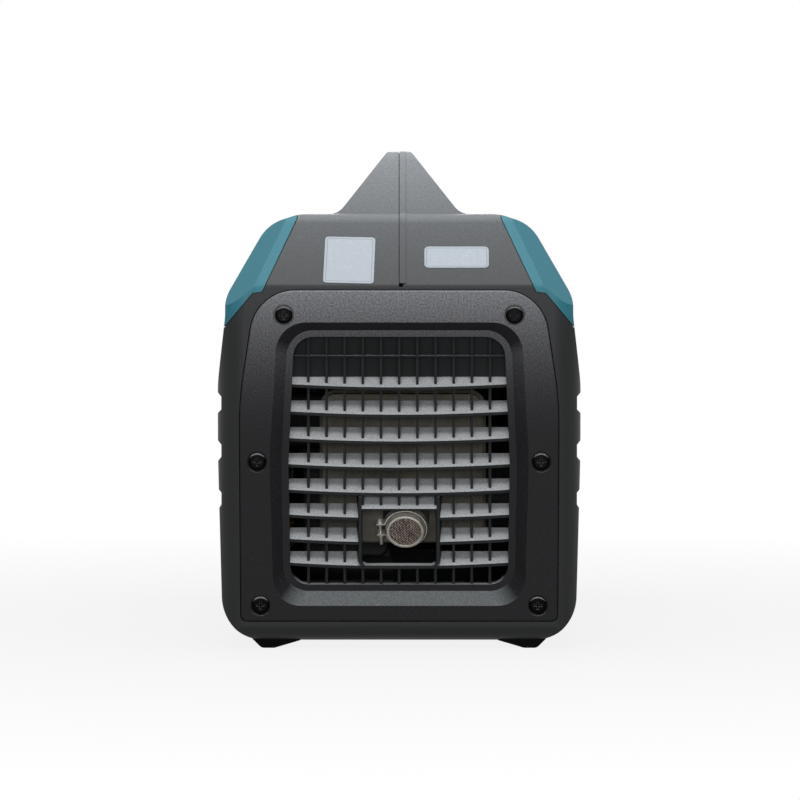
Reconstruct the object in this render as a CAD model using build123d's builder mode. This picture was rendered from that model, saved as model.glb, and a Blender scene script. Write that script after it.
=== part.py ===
"""Portable suitcase inverter generator, seen from its exhaust end along +Y.

The frame stands on its feet at z = 0, with +Z up, the exhaust end at -Y and the
control end at +Y. Sizes are in millimetres.
"""

import os
from math import acos, atan2, cos, hypot, radians, sin

from build123d import *

# Overall body
body_length = 510.0
body_width = 310.0
overall_height = 425.0
foot_drop = 6.5
wall = 3.0
seam_gap = 0.6
fit_gap = 0.4
lip_gap = 0.3
close_gap = 0.1
running_gap = 0.3
overlap = 0.5
reach = 30.0

# Body section, seen from the end
sill_inset = 4.6
sill_radius = 38.0
belly_low_z = 170.0
belly_high_z = 225.0
belly_low_radius = 600.0
belly_high_radius = 120.0
shoulder_inset = 7.0
shoulder_low_z = 283.0
shoulder_high_z = 299.0
shoulder_low_radius = 60.0
shoulder_high_radius = 30.0
crown_inset = 41.5
crown_drop = 9.0
crown_radius = 35.0
top_inset = 69.0
top_radius = 40.0

# Body seen from the side
handle_rise = 55.0
deck_drop = 18.0
hood_height = 62.0
hood_run = 55.0
hood_foot_radius = 8.0
crest_run = 28.0
crest_radius = 22.0
crest_back_radius = 14.0
deck_ramp = 22.0
deck_radius = 20.0
end_corner_radius = 24.0
corner_bleed = 0.05
heel_radius = 14.0

# Corner facets of the side covers
facet_inset = 7.0
facet_turn = 50.0

# Carry handle
handle_top_width = 20.5
handle_base_width = 106.0
handle_length = 356.0
handle_slope_run = 60.0
handle_root_depth = 12.0
handle_foot_spread = 11.0
handle_foot_radius = 16.0
handle_crown_radius = 5.0
handle_end_radius = 26.0
grip_width = 34.0
grip_depth = 28.0
grip_length = 176.0
grip_end_radius = 18.0
leg_foot_run = 34.0
leg_neck = 8.0
leg_inner_radius = 40.0

# Grip grooves in the corner bumpers
groove_depth = 3.4
groove_mouth = 18.0
groove_floor = 11.0
groove_first_z = 127.0
groove_pitch = 41.0
groove_count = 3
groove_length = 112.0

# Split between the side covers and the black shells
cover_seam_top_inset = 67.0
cover_seam_top_drop = 4.0
cover_seam_low_inset = 38.5
cover_seam_low_drop = 4.0
cover_seam_step = 8.0
cover_seam_step_drop = 1.0
cover_skirt_z = 274.0
cover_skirt_inset = 6.0
lip_width = 6.0
lip_thickness = 2.5
seam_bead_width = 5.5
seam_bead_height = 0.8
seam_depth = 1.5
seam_notch = 3.3

# End covers
end_cover_proud = 2.0
end_cover_gap = 0.8
end_cover_top_margin = 3.0
end_cover_bottom_z = 24.0
end_cover_top_inset = 34.0
end_cover_belly_inset = 19.5
end_cover_belly_z = 212.0
end_cover_bottom_inset = 20.5
end_cover_top_radius = 38.0
end_cover_side_radius = 300.0
end_cover_bottom_radius = 5.0
end_cover_edge = 1.2
end_cover_skirt = 12.0
end_cover_skirt_wall = 2.5
cover_plate = 3.0
ledge_width = 14.0
ledge_thickness = 3.0
socket_wall = 2.5

# Screws of the end covers
screw_head_radius = 7.4
screw_head_height = 3.2
screw_head_edge = 2.2
screw_shank_radius = 2.4
screw_length = 21.0
screw_well_radius = 8.8
screw_well_depth = 4.6
screw_sleeve_wall = 2.2
screw_boss_radius = 6.0
screw_boss_length = 14.0
screw_slot_width = 1.6
screw_slot_length = 7.0
screw_slot_depth = 1.6
screw_top_inset = 57.0
screw_top_drop = 20.8
screw_mid_inset = 34.3
screw_mid_z = 159.5
screw_low_inset = 37.0
screw_low_rise = 13.2

# Exhaust cover: dished recess around the louvre
recess_depth = 12.0
recess_rim = 5.6
recess_top_inset = 51.5
recess_top_drop = 27.0
recess_belly_inset = 44.5
recess_bottom_inset = 48.0
recess_bottom_rise = 13.0
recess_top_radius = 26.0
recess_bottom_radius = 24.0
opening_top_inset = 65.4
opening_top_drop = 39.5
opening_belly_inset = 60.5
opening_bottom_inset = 62.2
opening_bottom_rise = 30.2
opening_top_radius = 17.0
opening_bottom_radius = 16.0

# Louvre behind the recess
louvre_flange = 6.0
louvre_flange_thickness = 2.0
louvre_wall = 2.0
louvre_depth = 22.0
slat_count = 8
slat_pitch = 20.3
slat_pitch_gain = 0.5
slat_first_z = 67.3
slat_thickness = 2.6
slat_depth = 22.0
slat_tilt = 31.0
slat_bow = 5.0
top_rib_rise = 29.0
top_rib_thickness = 1.4
top_rib_setback = 1.0
rib_count = 11
rib_pitch = 15.5
rib_thickness = 2.2
rib_setback = 3.5
baffle_thickness = 2.0
baffle_drop = 38.0
baffle_setback = 9.0
bank_gap = 0.2
sill_line_rise = 0.5

# Window around the exhaust outlet
window_width = 69.0
window_height = 61.0
window_low_z = 68.0
window_wall = 2.5
window_radius = 7.0
window_proud = 3.0
window_top_z = 118.9
window_top_thickness = 1.4
window_flare = 2.0
window_draft = 0.5

# Exhaust outlet
outlet_x = 5.2
outlet_z = 97.4
outlet_setback = 28.0
outlet_droop = 30.0
outlet_turn = 2.0
outlet_pipe_radius = 12.4
outlet_pipe_wall = 1.5
arrester_ring_radius = 16.5
arrester_ring_width = 3.4
arrester_ring_edge = 1.3
arrester_sleeve_wall = 2.4
arrester_sleeve_length = 18.0
arrester_collar_radius = 17.6
arrester_mesh_radius = 13.5
arrester_mesh_setback = 1.2
arrester_mesh_thickness = 0.8
clamp_setback = 5.2
clamp_width = 8.0
clamp_wall = 1.0
clamp_ear_reach = 6.0
clamp_ear_gap = 9.4
clamp_ear_thickness = 1.2
clamp_bolt_radius = 1.4
clamp_bolt_length = 23.0
clamp_turn = 2.5
clamp_head_radius = 2.4
clamp_head_height = 4.0

# Muffler
muffler_left_x = -66.0
muffler_right_x = 72.0
muffler_rear_y = -202.0
muffler_depth = 50.0
muffler_low_z = 88.0
muffler_high_z = 215.0
muffler_wall = 1.5
muffler_radius = 12.0
muffler_seam = 3.0
muffler_seam_thickness = 2.0
outlet_well_x = 6.0
outlet_well_z = 110.5
outlet_well_radius = 20.0
outlet_well_depth = 14.0
header_x = 14.0
header_y = -120.0
header_radius = 9.0
header_bend_radius = 12.0
header_flange_thickness = 4.0
header_flange_width = 26.0
header_flange_height = 40.0

# Base tray, feet and engine mounts
tray_half_width = 82.0
tray_end_margin = 22.0
tray_flange = 8.0
tray_flange_thickness = 2.5
tray_rim = 8.0
foot_width = 42.0
foot_length = 46.0
foot_height = 16.0
foot_flat = 11.0
foot_outer_slope = 9.0
foot_inset = 28.5
foot_end_inset = 9.0
foot_radius = 6.0
foot_seat_gap = 0.05
mount_radius = 14.0
mount_height = 24.0

# Engine block
crank_y = 5.0
crank_z = 112.0
crankcase_left_x = -85.0
crankcase_right_x = -5.0
crankcase_rear_y = -50.0
crankcase_front_y = 60.0
crankcase_high_z = 172.0
crankcase_wall = 8.0
crankcase_radius = 10.0
base_flange = 10.0
base_flange_thickness = 6.0
stator_boss_radius = 32.0
stator_boss_length = 7.0
shaft_radius = 11.0
web_radius = 36.0
web_thickness = 12.0
web_spread = 24.0
crank_pin_radius = 10.0
stroke = 43.0
bore_radius = 24.3
cylinder_x = -47.0
cylinder_length = 85.0
cylinder_radius = 31.0
fin_width = 76.0
fin_height = 84.0
fin_thickness = 2.5
fin_pitch = 8.0
head_length = 22.0
head_roof = 10.0
valve_cover_length = 12.0
valve_cover_edge = 3.0
piston_length = 40.0
piston_crown_gap = 4.0
piston_wall = 4.0

# Alternator, fan and recoil starter, along the crank axis
stator_outer_radius = 59.0
stator_inner_radius = 28.0
stator_length = 34.0
stator_slots = 24
stator_slot_depth = 16.0
stator_slot_width = 5.0
rotor_air_gap = 2.0
rotor_rim = 14.0
rotor_setback = 2.0
rotor_web = 8.0
rotor_end_gap = 6.0
fan_disc = 3.0
fan_width = 20.0
fan_tip_gap = 10.0
fan_hub_radius = 32.0
fan_blades = 14
fan_blade_thickness = 2.5
cup_radius = 29.0
cup_length = 31.0
cup_wall = 3.0
drum_gap = 7.0
drum_wall = 3.0
drum_end_gap = 15.0
drum_eye_overlap = 8.0
recoil_seat = 10.0
recoil_depth = 27.0
recoil_post_radius = 7.0
recoil_post_collar = 6.0
reel_radius = 42.0
reel_width = 12.0
reel_groove_radius = 34.0
reel_groove_width = 6.0
reel_setback = 4.0

# Starter grip and its pocket
pocket_y = 62.0
pocket_z = 197.0
pocket_length = 96.0
pocket_height = 48.0
pocket_radius = 14.0
pocket_depth = 37.0
pocket_wall = 2.5
pocket_flange = 6.0
pocket_gap = 0.6
pull_length = 76.0
pull_height = 19.0
pull_thickness = 16.0
pull_setback = 1.0
pull_radius = 5.0
rope_radius = 2.2
rope_eye_radius = 4.0
rope_bend_radius = 14.0

# Fuel tank and cap
tank_half_width = 112.0
tank_rear_y = -95.0
tank_front_y = 185.0
tank_low_z = 245.0
tank_high_z = 333.0
tank_wall = 2.0
tank_radius = 18.0
tank_flange = 8.0
tank_flange_thickness = 3.0
tank_seam_z = 262.0
rail_thickness = 5.0
rail_end_margin = 30.0
neck_x = 49.0
neck_y = 70.0
neck_radius = 21.0
neck_bore = 17.0
neck_top_gap = 2.0
spigot_radius = 3.0
spigot_length = 8.0
spigot_x = -30.0
cap_radius = 28.0
cap_height = 12.8
cap_well_radius = 32.0
cap_well_depth = 3.3
cap_lift = 0.5
cap_ribs = 24
cap_rib_radius = 1.4
cap_edge = 0.7
gasket_thickness = 2.4
grommet_overlap = 2.5
grommet_height = 6.5
vent_length = 26.0
vent_width = 8.0
vent_height = 4.5
vent_hub_radius = 6.0
vent_edge = 1.1

# Fuel, air and spark
hose_radius = 4.5
hose_bend_radius = 12.0
carb_y = -78.0
carb_length = 40.0
carb_right_x = -52.0
carb_low_z = 162.0
carb_high_z = 212.0
carb_neck = 24.0
carb_bore_radius = 9.0
carb_cap_radius = 14.0
carb_cap_height = 5.0
carb_radius = 6.0
air_box_outer_x = -140.0
air_box_inner_x = -98.0
air_box_rear_y = -90.0
air_box_front_y = 60.0
air_box_low_z = 120.0
air_box_high_z = 232.0
air_box_wall = 2.5
air_box_radius = 10.0
filter_thickness = 16.0
coil_y = 15.0
coil_length = 34.0
coil_width = 30.0
coil_height = 22.0
coil_radius = 4.0
plug_x = -28.0
plug_y = -125.0
plug_hex_radius = 9.0
plug_hex_height = 10.0
plug_core_radius = 5.0
plug_core_height = 22.0
plug_boot_radius = 8.5
plug_boot_height = 52.0
plug_boot_edge = 4.0
dipstick_y = 40.0
dipstick_z = 80.0
dipstick_boss_radius = 12.0
dipstick_boss_length = 12.0
dipstick_head_radius = 14.0
dipstick_head_length = 12.0
dipstick_rod_radius = 3.5
dipstick_rod_length = 44.0
dipstick_ribs = 12
dipstick_rib_radius = 1.6

# Inverter box
inverter_half_width = 77.0
inverter_rear_y = 150.0
inverter_length = 72.0
inverter_height = 100.0
inverter_fins = 15
inverter_fin_depth = 12.0
inverter_fin_thickness = 3.0

# Control end
panel_half_width = 92.0
panel_low_z = 138.0
panel_high_z = 270.0
panel_corner_radius = 14.0
panel_setback = 12.0
panel_plate = 3.0
panel_margin = 6.0
panel_rim = 3.0
intake_slots = 8
intake_slot_pitch = 10.0
intake_slot_height = 4.6
intake_slot_length = 170.0
intake_low_z = 42.0
dial_x = 62.0
dial_z = 230.0
dial_radius = 23.0
dial_height = 7.0
dial_lift = 0.5
dial_bar_width = 9.0
dial_bar_height = 4.0
dial_stem_radius = 4.0
dial_stem_length = 10.0
dial_edge = 1.8
dial_bar_margin = 3.0
socket_z = 228.0
socket_x = [2.0, -58.0]
socket_size = 46.0
socket_radius = 6.0
socket_proud = 4.0
socket_bezel = 3.0
socket_depth = 26.0
socket_well_radius = 17.5
socket_well_depth = 14.0
pin_radius = 2.4
pin_pitch = 19.0
lid_thickness = 2.4
lid_lift = 0.6
lid_margin = 2.0
lid_barrel_radius = 2.6
lid_barrel_gap = 0.5
lid_pin_radius = 1.2
lid_barrel_length = 26.0
hinge_ear_length = 6.0
rocker_x = 62.0
rocker_z = 166.0
rocker_width = 18.0
rocker_height = 28.0
rocker_bezel = 3.0
rocker_proud = 5.0
rocker_edge = 0.5
lens_x = 30.0
lens_z = 166.0
lens_pitch = 13.0
lens_radius = 3.2
lens_proud = 2.0
lens_depth = 6.0
lens_edge = 1.0
button_x = [4.0, -20.0]
button_z = 164.0
button_radius = 5.5
button_collar = 8.5
button_collar_height = 3.0
button_proud = 7.0
button_depth = 9.0
button_edge = 1.3
dc_x = -58.0
dc_z = 166.0
dc_radius = 13.0
dc_body_radius = 10.5
dc_proud = 4.0
dc_depth = 18.0
dc_well_radius = 8.0
dc_well_depth = 14.0
dc_edge = 1.0
ground_x = -84.0
ground_z = 148.0
ground_hex_radius = 5.0
ground_hex_height = 4.0
ground_stud_radius = 2.9
ground_stud_length = 10.0
ground_washer_radius = 6.5
ground_washer_height = 1.5

# Maintenance cover in the left side and its quarter-turn screw
hatch_rear_y = -95.0
hatch_front_y = 75.0
hatch_low_z = 60.0
hatch_high_z = 236.0
hatch_radius = 16.0
hatch_screw_drop = 22.0
hatch_well_radius = 10.5
hatch_well_depth = 4.0
hatch_well_floor = 2.5
hatch_head_radius = 9.0
hatch_head_height = 3.2
hatch_slot_width = 2.2
hatch_shank_radius = 3.0
hatch_tab_width = 34.0
hatch_tab_thickness = 3.0
hatch_tab_rise = 9.0

# Spark plug cover in the deck
plug_lid_x = -66.0
plug_lid_y = -108.0
plug_lid_width = 36.0
plug_lid_length = 54.0
plug_lid_radius = 7.0
plug_lid_notch = 12.0

half_width = body_width / 2
end_y = body_length / 2
shell_end_y = end_y - end_cover_proud
crest_z = overall_height - handle_rise
deck_z = crest_z - deck_drop
hood_z = crest_z - hood_height
crest_y = shell_end_y - hood_run
deck_y = crest_y - crest_run - deck_ramp
end_cover_top_z = hood_z - end_cover_top_margin
ledge_y = end_y - end_cover_skirt
floor_z = foot_drop + wall + tray_flange_thickness


def both_sides(points):
    """Points of a right half, bottom to top, followed by their mirror images, top to bottom."""
    return points + [(-x, z) for x, z in reversed(points)]


def rounded_face(points, radii, grow=0.0):
    """A closed outline with its own radius at each corner, grown or shrunk by an even margin."""
    with BuildSketch(Plane.XY) as outline:
        with BuildLine():
            FilletPolyline(*points, radius=radii, close=True)
        make_face()
        if grow:
            offset(amount=grow, kind=Kind.INTERSECTION)
    return outline.sketch


def barrel_face(points, radii, grow=0.0):
    """A left-right symmetric outline from the points of its right half."""
    return rounded_face(both_sides(points), radii + radii[::-1], grow)


def cuboid(x, y, z, mode=Mode.ADD):
    """A box between two limits on each axis, in the part being built."""
    with Locations((sum(x) / 2, sum(y) / 2, sum(z) / 2)):
        Box(x[1] - x[0], y[1] - y[0], z[1] - z[0], mode=mode)


def rod(start, toward, radius, length, mode=Mode.ADD):
    """A cylinder from a start point along a direction, in the part being built."""
    with Locations(Plane(origin=start, z_dir=toward)):
        Cylinder(radius, length, align=(Align.CENTER, Align.CENTER, Align.MIN), mode=mode)


def prism(face, plane, start, end):
    """A face swept along its plane's normal, between two distances from the plane."""
    with BuildPart() as bar:
        with BuildSketch(plane.offset(start)):
            add(face)
        extrude(amount=end - start)
    return bar.part


def end_prism(face, side, near, far):
    """An XZ face at one end of the body, swept between two distances from the centre."""
    return prism(face, Plane.XZ, -side * near, -side * far)


def save(piece, name):
    """Label a finished piece and write it."""
    piece.part.label = name
    export_step(piece.part, f"parts/{name}.step")


def body_section(inset):
    """The outline of the body seen from the end."""
    right = [
        (half_width - sill_inset, foot_drop),
        (half_width, belly_low_z),
        (half_width, belly_high_z),
        (half_width - shoulder_inset, shoulder_low_z),
        (half_width - shoulder_inset, shoulder_high_z),
        (half_width - crown_inset, crest_z - crown_drop),
        (half_width - top_inset, crest_z),
    ]
    radii = [
        sill_radius,
        belly_low_radius,
        belly_high_radius,
        shoulder_low_radius,
        shoulder_high_radius,
        crown_radius,
        top_radius,
    ]
    return barrel_face(right, radii, -inset)


def body_side_view(inset):
    """The outline of the body seen from the side, with its hoods and sunken deck."""
    front = [
        (shell_end_y, foot_drop),
        (shell_end_y, hood_z),
        (crest_y, crest_z),
        (crest_y - crest_run, crest_z),
        (deck_y, deck_z),
    ]
    radii = [heel_radius, hood_foot_radius, crest_radius, crest_back_radius, deck_radius]
    return barrel_face(front, radii, -inset)


def facet_plane(side_x, side_y, inset):
    """The plane that slices one upper corner, just outside the edge of the hood."""
    top_x = half_width - cover_seam_top_inset + facet_inset
    low_x = half_width - cover_seam_low_inset + facet_inset
    top = Vector(side_x * top_x, side_y * crest_y, crest_z)
    low = Vector(side_x * low_x, side_y * shell_end_y, hood_z)
    along = (low - top).normalized()
    turn = radians(facet_turn)
    across = Vector(side_x * cos(turn), -side_y * sin(turn), 0)
    normal = along.cross(across).normalized()
    if normal.Y * side_y < 0:
        normal = -normal
    return Plane(origin=top - normal * inset, x_dir=along, z_dir=normal)


def body_solid(inset):
    """The whole body as one block, drawn in from its outer surface by an even inset."""
    end_view = body_section(inset)
    side_view = body_side_view(inset)
    with BuildPart() as block:
        with BuildSketch(Plane.XZ):
            add(end_view)
        extrude(amount=body_length, both=True)
        with BuildSketch(Plane.YZ):
            add(side_view)
        extrude(amount=body_width, both=True, mode=Mode.INTERSECT)
        with BuildSketch(Plane.XY):
            RectangleRounded(
                body_width + 2 * (corner_bleed - inset),
                2 * (shell_end_y + corner_bleed - inset),
                end_corner_radius + corner_bleed - inset,
            )
        extrude(amount=overall_height, mode=Mode.INTERSECT)
        for side_x in (-1, 1):
            for side_y in (-1, 1):
                split(bisect_by=facet_plane(side_x, side_y, inset), keep=Keep.BOTTOM)
    return block.part


def handle_solid(inset):
    """The carry handle as one arch: its end view, side view and plan, each crossed with the others."""
    half_base = handle_base_width / 2
    half_length = handle_length / 2
    half_grip = grip_length / 2
    grip_z = overall_height - grip_depth
    root_z = deck_z - handle_root_depth
    foot_x = half_base + handle_foot_spread
    foot = [(foot_x, root_z), (foot_x, crest_z), (half_base, crest_z)]
    wedge = foot + [(handle_top_width / 2, overall_height)]
    end_view = barrel_face(wedge, [0, 0, handle_foot_radius, handle_crown_radius], -inset)
    root_half_length = half_length + handle_slope_run * (crest_z - root_z) / handle_rise
    arch_line = [(root_half_length, root_z), (half_length - handle_slope_run, overall_height)]
    side_view = barrel_face(arch_line, [0, handle_end_radius], -inset)
    gap_line = [(half_grip + leg_foot_run, root_z - reach), (half_grip, grip_z)]
    hand_gap = barrel_face(gap_line, [0, grip_end_radius], inset)
    flare = (foot_x - grip_width / 2) / (half_length - half_grip)
    plan_right = [
        (foot_x + flare * handle_slope_run, -half_length - handle_slope_run),
        (grip_width / 2, -half_grip - leg_neck),
        (grip_width / 2, half_grip + leg_neck),
        (foot_x + flare * handle_slope_run, half_length + handle_slope_run),
    ]
    plan_view = barrel_face(plan_right, [0, leg_inner_radius, leg_inner_radius, 0], -inset)
    with BuildPart() as arch:
        with BuildSketch(Plane.XZ):
            add(end_view)
        extrude(amount=body_length, both=True)
        with BuildSketch(Plane.YZ):
            add(side_view)
            add(hand_gap, mode=Mode.SUBTRACT)
        extrude(amount=body_width, both=True, mode=Mode.INTERSECT)
        with BuildSketch(Plane.XY):
            add(plan_view)
        extrude(amount=overall_height + reach, mode=Mode.INTERSECT)
    return arch.part


def grip_grooves(margin):
    """The grip grooves of both sides as bars along Y, grown by a margin."""
    mouth = groove_mouth / 2 + margin
    bottom = groove_floor / 2 + margin
    floor_x = half_width - groove_depth - margin
    bar_y = shell_end_y - groove_length / 2
    with BuildPart() as bars:
        for end in (-1, 1):
            for index in range(groove_count):
                z = groove_first_z + index * groove_pitch
                with BuildSketch(Plane.XZ.offset(end * bar_y)):
                    with BuildLine():
                        Polyline(
                            (half_width + reach, z - mouth),
                            (half_width, z - mouth),
                            (floor_x, z - bottom),
                            (floor_x, z + bottom),
                            (half_width, z + mouth),
                            (half_width + reach, z + mouth),
                            close=True,
                        )
                    make_face()
                extrude(amount=groove_length / 2 + margin, both=True)
        mirror(about=Plane.YZ)
    return bars.part


def side_cover_zone(side, grow):
    """The region of one side cover, as a bar along Y that follows its seam."""
    seam_top_x = half_width - cover_seam_top_inset
    seam_low_x = half_width - cover_seam_low_inset
    seam_low_z = hood_z - cover_seam_low_drop
    points = [
        (seam_top_x, overall_height),
        (seam_top_x, crest_z - cover_seam_top_drop),
        (seam_low_x, seam_low_z),
        (seam_low_x + cover_seam_step, seam_low_z - cover_seam_step_drop),
        (half_width - cover_skirt_inset, cover_skirt_z),
        (half_width + reach, cover_skirt_z),
        (half_width + reach, overall_height),
    ]
    face = rounded_face([(side * x, z) for x, z in points], [0] * len(points), grow)
    return prism(face, Plane.XZ, -body_length, body_length)


def hatch_zone(grow):
    """The region of the maintenance cover, as a bar through the left side."""
    with BuildSketch(Plane.XY) as outline:
        with Locations(((hatch_rear_y + hatch_front_y) / 2, (hatch_low_z + hatch_high_z) / 2)):
            RectangleRounded(
                hatch_front_y - hatch_rear_y + 2 * grow,
                hatch_high_z - hatch_low_z + 2 * grow,
                hatch_radius + grow,
            )
    return prism(outline.sketch, Plane.YZ, -half_width - reach, -half_width + reach)


def plug_lid_zone(grow):
    """The region of the spark plug cover, as a bar through the deck."""
    with BuildSketch(Plane.XY) as outline:
        with Locations((plug_lid_x, plug_lid_y)):
            RectangleRounded(
                plug_lid_width + 2 * grow, plug_lid_length + 2 * grow, plug_lid_radius + grow
            )
    return prism(outline.sketch, Plane.XY, deck_z - reach, deck_z + reach)


def pocket_face(grow):
    """The outline of the starter grip's pocket, seen from the right side."""
    with BuildSketch(Plane.XY) as outline:
        with Locations((pocket_y, pocket_z)):
            RectangleRounded(pocket_length + 2 * grow, pocket_height + 2 * grow, pocket_radius + grow)
    return outline.sketch


def end_outline(grow=0.0):
    """The barrel outline of the end covers."""
    right = [
        (half_width - end_cover_bottom_inset, end_cover_bottom_z),
        (half_width - end_cover_belly_inset, end_cover_belly_z),
        (half_width - end_cover_top_inset, end_cover_top_z),
    ]
    return barrel_face(right, [end_cover_bottom_radius, end_cover_side_radius, end_cover_top_radius], grow)


def recess_outline(grow=0.0):
    """The outer edge of the dished recess in the exhaust cover."""
    right = [
        (half_width - recess_bottom_inset, end_cover_bottom_z + recess_bottom_rise),
        (half_width - recess_belly_inset, screw_mid_z),
        (half_width - recess_top_inset, end_cover_top_z - recess_top_drop),
    ]
    return barrel_face(right, [recess_bottom_radius, end_cover_side_radius, recess_top_radius], grow)


def opening_outline(grow=0.0):
    """The louvre opening at the bottom of the recess."""
    right = [
        (half_width - opening_bottom_inset, end_cover_bottom_z + opening_bottom_rise),
        (half_width - opening_belly_inset, screw_mid_z),
        (half_width - opening_top_inset, end_cover_top_z - opening_top_drop),
    ]
    return barrel_face(right, [opening_bottom_radius, end_cover_side_radius, opening_top_radius], grow)


def screw_places():
    """Where the six screws of an end cover stand, in X and Z."""
    right = [
        (half_width - screw_top_inset, end_cover_top_z - screw_top_drop),
        (half_width - screw_mid_inset, screw_mid_z),
        (half_width - screw_low_inset, end_cover_bottom_z + screw_low_rise),
    ]
    return both_sides(right)


def lip(around, at, within):
    """A ledge behind a seam: fused to the wall around the seam, just clear of the cover within it."""
    with BuildPart() as fused:
        add(seat_layer)
        add(around, mode=Mode.INTERSECT)
        add(at, mode=Mode.SUBTRACT)
    with BuildPart() as clear:
        add(clear_layer)
        add(at, mode=Mode.INTERSECT)
        add(within, mode=Mode.SUBTRACT)
    with BuildPart() as ledge:
        add(fused.part)
        add(clear.part)
    return ledge.part


os.makedirs("parts", exist_ok=True)

# Body skin, with the grip grooves pressed in and the raised strip beside the centre seam
inner_body = body_solid(wall)
inner_handle = handle_solid(wall)
with BuildPart() as hollow:
    add(inner_body)
    add(inner_handle)
    add(grip_grooves(wall), mode=Mode.SUBTRACT)
with BuildPart() as bead:
    add(body_solid(-seam_bead_height))
    add(handle_solid(-seam_bead_height))
    cuboid(
        (seam_gap / 2, seam_gap / 2 + seam_bead_width),
        (-end_y, end_y),
        (hood_z + seam_notch, overall_height),
        mode=Mode.INTERSECT,
    )
with BuildPart() as centre_seam:
    cuboid((-seam_gap / 2, seam_gap / 2), (-end_y, end_y), (hood_z, overall_height))
    add(body_solid(seam_depth), mode=Mode.SUBTRACT)
    add(handle_solid(seam_depth), mode=Mode.SUBTRACT)
with BuildPart() as skin:
    add(body_solid(0))
    add(handle_solid(0))
    add(grip_grooves(0), mode=Mode.SUBTRACT)
    add(bead.part)
    add(centre_seam.part, mode=Mode.SUBTRACT)
    add(hollow.part, mode=Mode.SUBTRACT)

with BuildPart() as seat_ring:
    add(body_solid(wall - overlap))
    add(body_solid(wall + lip_thickness), mode=Mode.SUBTRACT)
seat_layer = seat_ring.part
with BuildPart() as clear_ring:
    add(body_solid(wall + lip_gap))
    add(body_solid(wall + lip_thickness), mode=Mode.SUBTRACT)
clear_layer = clear_ring.part

# Supports inside the shells: cover sockets, screw bosses, tank rails and the hatch tab
hatch_mid_y = (hatch_rear_y + hatch_front_y) / 2
hatch_screw_z = hatch_high_z - hatch_screw_drop
hatch_floor_x = half_width - hatch_well_depth - hatch_well_floor
hatch_tab_x = hatch_floor_x - fit_gap
boss_end_y = ledge_y - ledge_thickness - screw_boss_length
socket_face = end_outline(end_cover_gap + socket_wall)
socket_hole = end_outline(-ledge_width)
supports_limit = body_solid(wall - overlap)
with BuildPart() as supports:
    for side in (-1, 1):
        add(end_prism(socket_face, side, ledge_y - ledge_thickness, end_y))
    for side in (-1, 1):
        add(end_prism(socket_hole, side, ledge_y - ledge_thickness, end_y), mode=Mode.SUBTRACT)
    for side in (-1, 1):
        for x, z in screw_places():
            rod((x, side * ledge_y, z), (0, -side, 0), screw_boss_radius, ledge_y - boss_end_y)
    rail_x = tank_half_width + 2 * end_cover_gap
    for side in (-1, 1):
        cuboid(
            tuple(sorted((side * rail_x, side * half_width))),
            (tank_rear_y + rail_end_margin, tank_front_y - rail_end_margin),
            (tank_seam_z - rail_thickness, tank_seam_z),
        )
    cuboid(
        (-hatch_tab_x, -hatch_tab_x + hatch_tab_thickness),
        (hatch_mid_y - hatch_tab_width / 2, hatch_mid_y + hatch_tab_width / 2),
        (hatch_screw_z - hatch_well_radius, hatch_high_z + hatch_tab_rise),
    )
    cuboid(
        (-half_width, -hatch_tab_x + hatch_tab_thickness),
        (hatch_mid_y - hatch_tab_width / 2, hatch_mid_y + hatch_tab_width / 2),
        (hatch_high_z + seam_gap + fit_gap, hatch_high_z + hatch_tab_rise),
    )
    add(supports_limit, mode=Mode.INTERSECT)

tray_half_length = shell_end_y - tray_end_margin
with BuildPart() as casing:
    add(skin.part)
    for side in (-1, 1):
        add(side_cover_zone(side, seam_gap), mode=Mode.SUBTRACT)
    add(hatch_zone(seam_gap), mode=Mode.SUBTRACT)
    add(plug_lid_zone(seam_gap), mode=Mode.SUBTRACT)
    for side in (-1, 1):
        seam_around = side_cover_zone(side, lip_width)
        seam_within = side_cover_zone(side, -lip_width)
        add(lip(seam_around, side_cover_zone(side, seam_gap), seam_within))
    add(lip(hatch_zone(lip_width), hatch_zone(seam_gap), hatch_zone(-lip_width)))
    add(lip(plug_lid_zone(lip_width), plug_lid_zone(seam_gap), plug_lid_zone(-lip_width)))
    add(supports.part)
    for side in (-1, 1):
        add(end_prism(end_outline(end_cover_gap), side, ledge_y, end_y + reach), mode=Mode.SUBTRACT)
        cuboid(
            (0, seam_notch),
            tuple(sorted((side * ledge_y, side * end_y))),
            (hood_z, hood_z + seam_notch),
            mode=Mode.SUBTRACT,
        )
        for x, z in screw_places():
            rod(
                (x, side * end_y, z),
                (0, -side, 0),
                screw_shank_radius + close_gap,
                end_y - boss_end_y,
                mode=Mode.SUBTRACT,
            )
    add(prism(pocket_face(fit_gap), Plane.YZ, half_width - reach, half_width + reach), mode=Mode.SUBTRACT)
    rod((neck_x, neck_y, deck_z - reach), (0, 0, 1), cap_well_radius, 2 * reach, mode=Mode.SUBTRACT)
    rod(
        (-half_width, hatch_mid_y, hatch_screw_z),
        (1, 0, 0),
        hatch_shank_radius + close_gap,
        2 * reach,
        mode=Mode.SUBTRACT,
    )
    cuboid(
        (-tray_half_width, tray_half_width),
        (-tray_half_length, tray_half_length),
        (0, foot_drop + wall + overlap),
        mode=Mode.SUBTRACT,
    )

with BuildPart() as right_shell:
    add(casing.part)
    cuboid((0, body_width), (-end_y, end_y), (0, overall_height), mode=Mode.INTERSECT)
save(right_shell, "right_shell")

with BuildPart() as left_shell:
    add(casing.part)
    cuboid((-body_width, 0), (-end_y, end_y), (0, overall_height), mode=Mode.INTERSECT)
save(left_shell, "left_shell")

# Coloured side covers
with BuildPart() as right_side_cover:
    add(skin.part)
    add(side_cover_zone(1, 0), mode=Mode.INTERSECT)
save(right_side_cover, "right_side_cover")

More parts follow.
